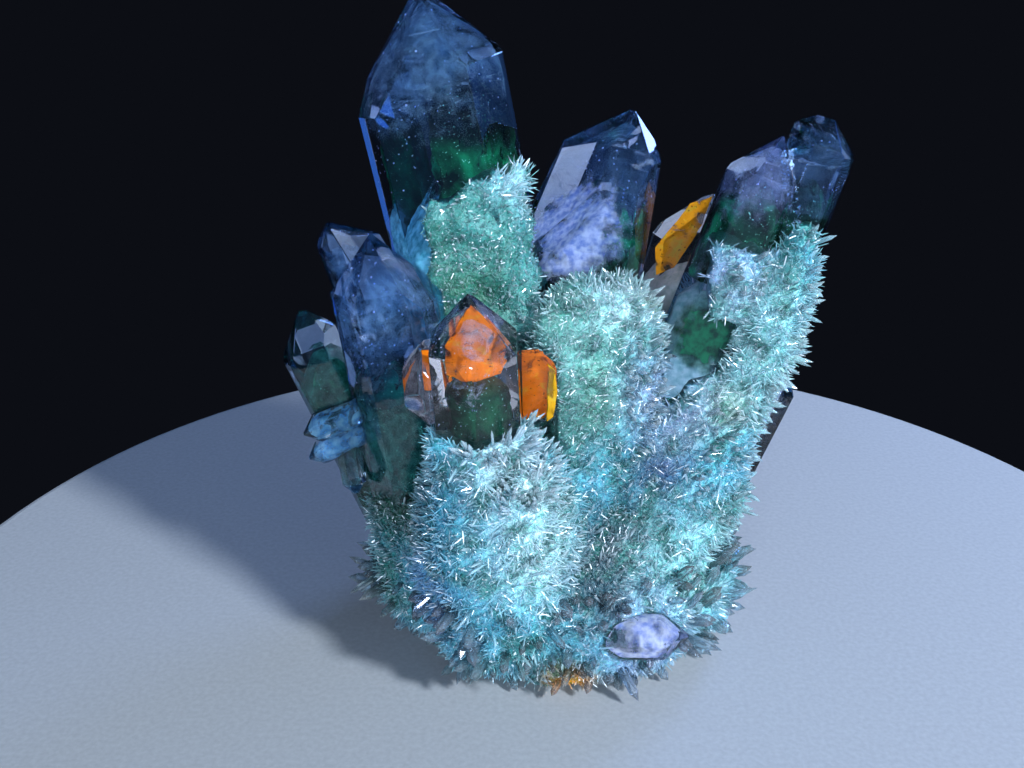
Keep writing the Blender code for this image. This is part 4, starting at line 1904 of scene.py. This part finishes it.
@dataclass
class Studio:
    """A plain pale round table, soft lights and the camera at the photograph's angle."""

    table_radius: float = 115.0
    table_height: float = 8.0
    table_gap: float = 0.05
    table_edge: float = 2.0
    table_sides: int = 128
    aim: Triple = (0.0, 0.0, 45.0)
    lamps: tuple[Lamp, ...] = (
        Lamp("key", (560, -520, 520), 120, 17.0, "E8F3FF"),
        Lamp("fill", (-120, -760, 200), 260, 7.0, "DCEBFF"),
        Lamp("rim", (260, 260, 240), 160, 1.2, "8FB4FF"),
    )
    dark: str = "0C0E14"
    glows: tuple[Glow, ...] = (
        Glow((0.55, -0.75, 0.4), 0.25, "E6F2FF", 0.6),
        Glow((-0.1, -0.9, 0.4), 0.85, "6CA8E8", 0.5),
        Glow((0.95, 0.1, 0.25), 0.3, "4E8CF0", 0.8),
        Glow((-0.8, 0.3, 0.4), 0.2, "5C8CE0", 0.35),
    )
    eye: Triple = (-9.0, -162.0, 111.0)
    look_down: float = 23.1
    focal_px: float = 1100.0
    picture_width: int = 1024
    sensor: float = 36.0

    def floor(self) -> None:
        """The pale table top, its rim rounded, just under the resting face."""
        bm = bmesh.new()
        radius, height = self.table_radius * MM, self.table_height * MM
        bmesh.ops.create_cone(
            bm, cap_ends=True, segments=self.table_sides, radius1=radius, radius2=radius, depth=height,
            matrix=Matrix.Translation((0, 0, -height / 2 - self.table_gap * MM)),
        )
        rim = [edge for edge in bm.edges if edge.calc_face_angle(0) > math.radians(60)]
        bmesh.ops.bevel(
            bm, geom=rim, offset=self.table_edge * MM, affect="EDGES", segments=4, profile=0.5, material=-1,
        )
        table = object_from("pale_floor", bm)
        table.data.materials.append(PaleFloor("pale_board").material())

    def hang(self, lamp: Lamp) -> None:
        """Hang a lamp so that it looks at the middle of the cluster.

        Args:
            lamp: The lamp.
        """
        light = bpy.data.lights.new(lamp.name, "AREA")
        light.shape, light.size, light.energy = "DISK", lamp.size * MM, lamp.power
        light.color = linear(lamp.colour)[:3]
        hung = bpy.data.objects.new(lamp.name, light)
        bpy.context.scene.collection.objects.link(hung)
        hung.location = Vector(lamp.place) * MM
        hung.rotation_mode = "QUATERNION"
        hung.rotation_quaternion = (Vector(self.aim) * MM - hung.location).to_track_quat("-Z", "Y")

    def lights(self) -> None:
        """Light a cool key from the front right, a softer fill from the front and a rim light from behind."""
        for lamp in self.lamps:
            self.hang(lamp)

    def room(self) -> None:
        """Make the dim room around the table, nearly black but for a few soft bluish patches of light."""
        world = bpy.data.worlds.new("dim_room")
        bpy.context.scene.world = world
        world.use_nodes = True
        tree = world.node_tree
        tree.nodes.clear()
        way = add_node(tree, "ShaderNodeTexCoord").outputs["Generated"]
        colour = None
        for glow in self.glows:
            toward = add_node(
                tree, "ShaderNodeVectorMath",
                {"operation": "DOT_PRODUCT", 1: Vector(glow.way).normalized()}, {0: way},
            )
            light = add_node(
                tree, "ShaderNodeMapRange",
                {
                    "interpolation_type": "SMOOTHSTEP", "From Min": 1 - glow.width, "From Max": 1.0,
                    "To Max": glow.strength,
                },
                {"Value": toward.outputs["Value"]},
            )
            tinted = add_node(
                tree, "ShaderNodeVectorMath", {"operation": "SCALE", 0: linear(glow.colour)[:3]},
                {"Scale": light.outputs["Result"]},
            )
            base = {1: linear(self.dark)[:3]} if colour is None else {}
            under = {} if colour is None else {1: colour.outputs[0]}
            colour = add_node(
                tree, "ShaderNodeVectorMath", {"operation": "ADD", **base}, {0: tinted.outputs[0], **under},
            )
        back = add_node(tree, "ShaderNodeBackground", links={"Color": colour.outputs[0]})
        add_node(tree, "ShaderNodeOutputWorld", links={"Surface": back.outputs[0]})

    def camera(self) -> None:
        """The camera, level and looking along +Y, from above the front of the table."""
        lens = bpy.data.cameras.new("camera")
        lens.sensor_fit, lens.sensor_width = "HORIZONTAL", self.sensor
        lens.lens = self.focal_px / self.picture_width * self.sensor
        lens.clip_start, lens.clip_end = 0.005, 10.0
        view = bpy.data.objects.new("camera", lens)
        bpy.context.scene.collection.objects.link(view)
        view.location = Vector(self.eye) * MM
        view.rotation_euler = (math.radians(90 - self.look_down), 0, 0)
        bpy.context.scene.camera = view

    def build(self) -> None:
        """Set up everything around the cluster."""
        self.floor()
        self.lights()
        self.room()
        self.camera()
        bpy.context.scene.view_settings.view_transform = "Standard"


# The finishes of what grew inside the points.
PHANTOM = Chlorite("chlorite_moss")
TALL_PHANTOM = Chlorite(
    "tall_chlorite_moss", mid="085C3E", bright="149464", crown="010C0A", crown_from=78.0, crown_to=82.0,
    thins_from=77.0, thins_to=93.0,
)
CENTRE_PHANTOM = Chlorite("centre_chlorite_moss", thins_from=65.0, thins_to=74.0)
LEANING_PHANTOM = Chlorite("leaning_chlorite_moss", mid="07402E", thins_from=71.0, thins_to=77.0)
TWIN_PHANTOM = Chlorite("twin_chlorite_moss", mid="052A20", bright="0A5A3C", thins_from=71.0, thins_to=78.0)
LEFT_PHANTOM = Chlorite(
    "left_chlorite_moss", deep="042A30", mid="08484C", bright="107068", thins_from=42.0, thins_to=52.0,
)
RUSTY_PHANTOM = Chlorite(
    "chlorite_moss_under_iron", mid="07402C", bright="0C5C3C", crown="5E4408", crown_from=50.0,
    crown_to=54.0,
)
CLOUD = MilkyVeil(
    "milky_cloud", pale="F0F2FF", shade="98A8E4", most=0.9, start=0.34, patch_mm=3.6, relief=0.15, stir=0.3,
)
VEIL = MilkyVeil("milky_veil_sheets", pale="E4F0FF", shade="6C9CDC", most=0.3, start=0.54, patch_mm=2.4)
CENTRE_CLOUD = MilkyVeil(
    "centre_milky_cloud", pale="DCE6FF", shade="8098DC", most=0.9, start=0.25, patch_mm=3.0, relief=0.1,
    stir=0.3, centre=(-0.5, 2.5, 67.5), reach=(9.5, 8.0, 11.0),
)
BLUE_CLOUD = MilkyVeil(
    "blue_milky_cloud", pale="94C4F0", shade="2C6CA4", most=0.34, start=0.38, patch_mm=7.0, relief=0.0,
    stir=0.5, centre=(-31.0, -2.0, 68.0), reach=(24.0, 24.0, 30.0),
)
STAIN = IronStain("iron_oxide_film", orange="E87400", yellow="DC9810", brown="7A3004", least=0.6)
FRINGE = IronStain("yellow_iron_fringe", orange="A87C10", yellow="9C9034", brown="7A4A08", least=0.3)
AMBER = IronStain("amber_iron_film", orange="C8800A", yellow="A8942C", brown="6A3C08", least=0.5)
# The blue of this haze is painted sheen of blue light, over real cloudiness.
HAZE = MilkyVeil(
    "blue_haze", pale="94C8EC", shade="3C7CB8", most=0.3, start=0.34, patch_mm=7.0, relief=0.0, stir=0.5,
    centre=(-22.0, 3.0, 99.0), reach=(20.0, 20.0, 20.0),
)
FAINT = MilkyVeil(
    "faint_blue_haze", pale="7CB4E4", shade="2C64A4", most=0.14, start=0.36, patch_mm=7.0, relief=0.0,
    stir=0.5,
)
LAVENDER = MilkyVeil(
    "lavender_haze", pale="B4C4F4", shade="6484CC", most=0.34, start=0.3, patch_mm=7.0, relief=0.0,
    stir=0.5, centre=(27.0, -1.0, 80.0), reach=(13.0, 13.0, 12.0),
)
# Partly painted shade: a dark teal haze in the lower left points, which lie away from the key light.
DEEP_TEAL = MilkyVeil(
    "deep_teal_haze", pale="1E8478", shade="08403C", most=0.65, start=0.3, patch_mm=5.0, relief=0.0,
    stir=0.5,
)
ROSY = MilkyVeil(
    "rosy_haze", pale="E8DCE0", shade="B0ACC0", most=0.15, start=0.32, patch_mm=3.0, relief=0.0, stir=0.8,
)
ROSY_TIP = MilkyVeil(
    "rosy_tip_haze", pale="E4E0EA", shade="A8A8C0", most=0.3, start=0.24, patch_mm=4.0, relief=0.0,
    stir=0.5, centre=(-14.6, -21.5, 67.0), reach=(16.0, 16.0, 12.5),
)
# Painted sparkle: pale flecks in a milky sheet stand for the glints along the seam.
SEAM = MilkyVeil(
    "sparkling_seam", pale="B4D4FA", shade="4C88D0", most=0.6, start=0.5, patch_mm=0.7, relief=0.3,
    stir=1.5,
)
MOSS = MilkyVeil(
    "green_moss_cloud", pale="0E6C48", shade="04301E", most=1.0, start=0.2, patch_mm=4.0, relief=0.3,
    stir=0.4, centre=(20.5, -7.4, 53.0), reach=(6.5, 6.0, 7.0),
)
TEAL = MilkyVeil(
    "milky_teal_core", pale="7CD4EC", shade="2890AC", most=1.0, start=0.0, patch_mm=6.0, relief=0.0,
    stir=0.5, centre=(-26.0, 0.0, 57.0), reach=(13.0, 13.0, 25.0),
)
CORE = MilkyVeil(
    "milky_green_core", pale="B0D0DC", shade="78A8B4", most=0.9, start=0.0, patch_mm=9.0, relief=0.1,
)
STUB = MilkyVeil(
    "milky_blue_stubs", pale="A8E4FF", shade="3A94D8", most=0.45, start=0.3, patch_mm=3.0, relief=0.0,
)
# Its milky beige is painted near white as light, against the shade that the leaning points cast on it.
BEIGE = MilkyVeil(
    "milky_beige_core", pale="FFFFF4", shade="D4E0D0", most=1.0, start=0.1, patch_mm=4.0, relief=0.1,
)

# The masses inside the points: how far the tip is dropped and the faces are set in from the point's own, and
# how far above the foot they start, in mm.
INCLUSIONS: tuple[Inclusion, ...] = (
    Inclusion(
        "tall_point_haze", "tall_point", HAZE, Slot.MILKY, drop=1.5, inset=0.8, low=66.0, lump_mm=0.2,
        voxel_mm=1.0,
    ),
    Inclusion(
        "tall_point_phantom", "tall_point", TALL_PHANTOM, Slot.CHLORITE, drop=9.0, inset=1.2, lump_mm=1.3,
        slices=(((-1, 0, 0.1), 8.0),),
    ),
    Inclusion(
        "tall_point_core", "tall_point", TEAL, Slot.MILKY, drop=22.0, inset=0.7, low=36.0, lump_mm=0.3,
        voxel_mm=0.8,
    ),
    Inclusion(
        "centre_point_haze", "centre_point", FAINT, Slot.MILKY, drop=1.0, inset=0.8, low=55.0, lump_mm=0.2,
        voxel_mm=1.0,
    ),
    Inclusion(
        "centre_point_phantom", "centre_point", CENTRE_PHANTOM, Slot.CHLORITE, drop=11.0, inset=1.6,
        slices=(((-1, 0, 0.0), -0.5),),
    ),
    Inclusion(
        "centre_point_cloud", "centre_point", CENTRE_CLOUD, Slot.MILKY, drop=5.0, inset=1.0, low=30.0,
        lump_mm=0.4,
    ),
    Inclusion(
        "amber_back_point_core", "amber_back_point", BEIGE, Slot.MILKY, drop=9.0, inset=1.0, low=25.0,
        lump_mm=0.3,
    ),
    Inclusion(
        "leaning_point_haze", "leaning_point", LAVENDER, Slot.MILKY, drop=1.0, inset=0.6, low=58.0,
        lump_mm=0.2,
    ),
    Inclusion(
        "leaning_twin_haze", "leaning_twin", FAINT, Slot.MILKY, drop=1.0, inset=0.6, low=60.0, lump_mm=0.2,
    ),
    Inclusion(
        "leaning_point_phantom", "leaning_point", LEANING_PHANTOM, Slot.CHLORITE, drop=5.0, inset=1.0,
        low=57.0,
    ),
    Inclusion(
        "leaning_point_core", "leaning_point", CORE, Slot.MILKY, drop=21.0, inset=0.8, low=18.0,
        lump_mm=0.2,
    ),
    Inclusion(
        "leaning_point_moss", "leaning_point", MOSS, Slot.CHLORITE, drop=14.0, inset=0.5, low=34.0,
        lump_mm=0.2, clearance=0.2,
    ),
    Inclusion("leaning_twin_phantom", "leaning_twin", TWIN_PHANTOM, Slot.CHLORITE, drop=7.0, inset=1.0),
    Inclusion("left_point_phantom", "left_point", LEFT_PHANTOM, Slot.CHLORITE, drop=15.0, inset=1.4),
    Inclusion(
        "left_point_haze", "left_point", DEEP_TEAL, Slot.MILKY, drop=18.0, inset=0.7, low=8.0, lump_mm=0.2,
        voxel_mm=0.8,
    ),
    Inclusion(
        "left_small_point_haze", "left_small_point", DEEP_TEAL, Slot.MILKY, drop=5.0, inset=0.6, low=4.0,
        lump_mm=0.2,
    ),
    Inclusion(
        "left_point_cloud", "left_point", BLUE_CLOUD, Slot.MILKY, drop=3.0, inset=1.0, low=40.0,
        lump_mm=0.3,
    ),
    Inclusion(
        "left_back_point_cloud", "left_back_point", BLUE_CLOUD, Slot.MILKY, drop=3.0, inset=1.0,
        lump_mm=0.3,
    ),
    Inclusion(
        "left_stub_cloud", "left_stub", STUB, Slot.MILKY, drop=0.6, inset=0.35, lump_mm=0.1, voxel_mm=0.35,
    ),
    Inclusion(
        "left_lower_stub_cloud", "left_lower_stub", STUB, Slot.MILKY, drop=0.6, inset=0.35, lump_mm=0.1,
        voxel_mm=0.35,
    ),
    Inclusion("left_small_point_phantom", "left_small_point", PHANTOM, Slot.CHLORITE, drop=7.0, inset=0.9),
    Inclusion(
        "front_point_haze", "front_point", ROSY_TIP, Slot.MILKY, drop=1.0, inset=0.6, low=44.0, lump_mm=0.2,
    ),
    Inclusion(
        "front_point_phantom", "front_point", RUSTY_PHANTOM, Slot.CHLORITE, drop=6.0, inset=3.0,
        lump_mm=0.9, voxel_mm=0.45,
    ),
    Inclusion(
        "front_side_point_haze", "front_side_point", ROSY, Slot.MILKY, drop=0.6, inset=0.4, lump_mm=0.1,
        voxel_mm=0.35, clearance=0.2,
    ),
    Inclusion(
        "lying_point_cloud", "lying_point", CLOUD, Slot.MILKY, drop=0.8, inset=0.5, lump_mm=0.2,
        voxel_mm=0.5,
    ),
    Inclusion("back_point_phantom", "back_point", PHANTOM, Slot.CHLORITE, drop=12.0, inset=1.0),
    Inclusion("back_right_point_phantom", "back_right_point", PHANTOM, Slot.CHLORITE, drop=8.0, inset=0.8),
    Inclusion("back_left_point_phantom", "back_left_point", PHANTOM, Slot.CHLORITE, drop=8.0, inset=0.8),
)

# The films, by their corners in mm.
FILMS: tuple[Film, ...] = (
    Film(
        "front_point_stain",
        (
            (-14.5, -21.8, 62.9), (-17.8, -23.5, 57.4), (-17.3, -22.5, 53.5), (-14.5, -23.5, 52.9),
            (-11.1, -22.5, 53.6), (-10.2, -21.0, 56.0), (-12.0, -21.5, 59.6),
        ),
        STAIN, Slot.IRON,
    ),
    Film(
        "amber_back_point_stain",
        (
            (14.2, 10.5, 61.5), (19.6, 12.0, 68.2), (23.2, 13.0, 69.2), (21.5, 11.0, 64.8),
            (17.3, 9.0, 58.6), (14.4, 9.0, 57.2),
        ),
        AMBER, Slot.IRON,
    ),
    Film(
        "front_right_plate_stain",
        (
            (-7.6, -16.0, 53.2), (-4.6, -16.0, 53.0), (-3.3, -15.6, 50.5), (-2.9, -15.2, 46.5),
            (-4.2, -14.8, 43.0), (-7.4, -14.8, 42.0),
        ),
        STAIN, Slot.IRON, thickness=1.4, wave_mm=0.12,
    ),
    Film(
        "front_right_plate_fringe",
        (
            (-3.9, -16.4, 52.2), (-3.0, -16.0, 51.0), (-2.6, -15.6, 47.0), (-3.1, -15.4, 43.6),
            (-4.0, -15.6, 42.8),
        ),
        FRINGE, Slot.IRON, thickness=0.5,
    ),
    # Painted sparkle along the seam of the leaning points.
    Film(
        "leaning_seam_sparkles",
        (
            (30.2, -1.2, 79.2), (31.9, -1.3, 79.9), (33.0, -1.6, 74.0), (34.2, -1.8, 68.6),
            (32.0, -1.8, 68.2), (30.3, -1.5, 73.9),
        ),
        SEAM, Slot.MILKY, wave_mm=0.5,
    ),
    Film(
        "front_side_point_stain",
        ((-21.6, -19.6, 55.4), (-20.6, -19.6, 55.4), (-20.0, -19.6, 49.6), (-20.9, -19.6, 49.6)), STAIN,
        Slot.IRON, wave_mm=0.1,
    ),
    Film(
        "front_side_point_edge_stain",
        ((-22.3, -18.6, 53.4), (-24.2, -18.2, 50.4), (-24.1, -18.2, 48.4), (-23.6, -18.4, 50.4)), STAIN,
        Slot.IRON, wave_mm=0.1,
    ),
)

# The veils, each sheet as how far it is below the apex in mm, its lean and its turn in degrees.
VEILS: tuple[Veils, ...] = (
    Veils("tall_point_veils", "tall_point", ((17, 8, 20), (11, -32, 70)), VEIL),
    Veils("centre_point_veils", "centre_point", ((9, 30, 10), (20, 45, 120)), VEIL),
    Veils("leaning_point_veils", "leaning_point", ((7, 30, 10),), VEIL),
    Veils("leaning_twin_veils", "leaning_twin", ((6, 35, 60), (10, -30, 120)), VEIL),
    Veils("left_point_veils", "left_point", ((12, 40, 30), (16, -30, 100)), VEIL),
    Veils("front_point_veils", "front_point", ((4, 40, 40), (8, -50, 150)), VEIL),
)

# The flecks: how many, and between which depths below the apex, in mm.
FLECKS: tuple[Flecks, ...] = (
    Flecks("tall_point_flecks", "tall_point", 110, 5, 30, seed=1),
    Flecks("centre_point_flecks", "centre_point", 160, 5, 40, seed=2),
    Flecks("leaning_point_flecks", "leaning_point", 60, 3, 22, seed=3),
    Flecks("leaning_twin_flecks", "leaning_twin", 30, 3, 18, seed=4),
    Flecks("left_point_flecks", "left_point", 120, 4, 30, seed=5),
    Flecks("front_point_flecks", "front_point", 80, 4, 24, seed=6),
)


def main() -> None:
    """Load the frame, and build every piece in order."""
    logging.basicConfig(level=logging.INFO, format="%(name)s %(message)s")
    noise.seed_set(NOISE_SEED)
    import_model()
    Studio().build()
    builders: list[Callable[[], object]] = [growth.build for growth in GROWTHS]
    builders += [inclusion.build for inclusion in INCLUSIONS]
    builders += [film.build for film in FILMS]
    builders += [veils.build for veils in VEILS]
    builders += [flecks.build for flecks in FLECKS]
    builders.append(Druse().build)
    for builder in builders:
        builder()


if __name__ == "__main__":
    main()
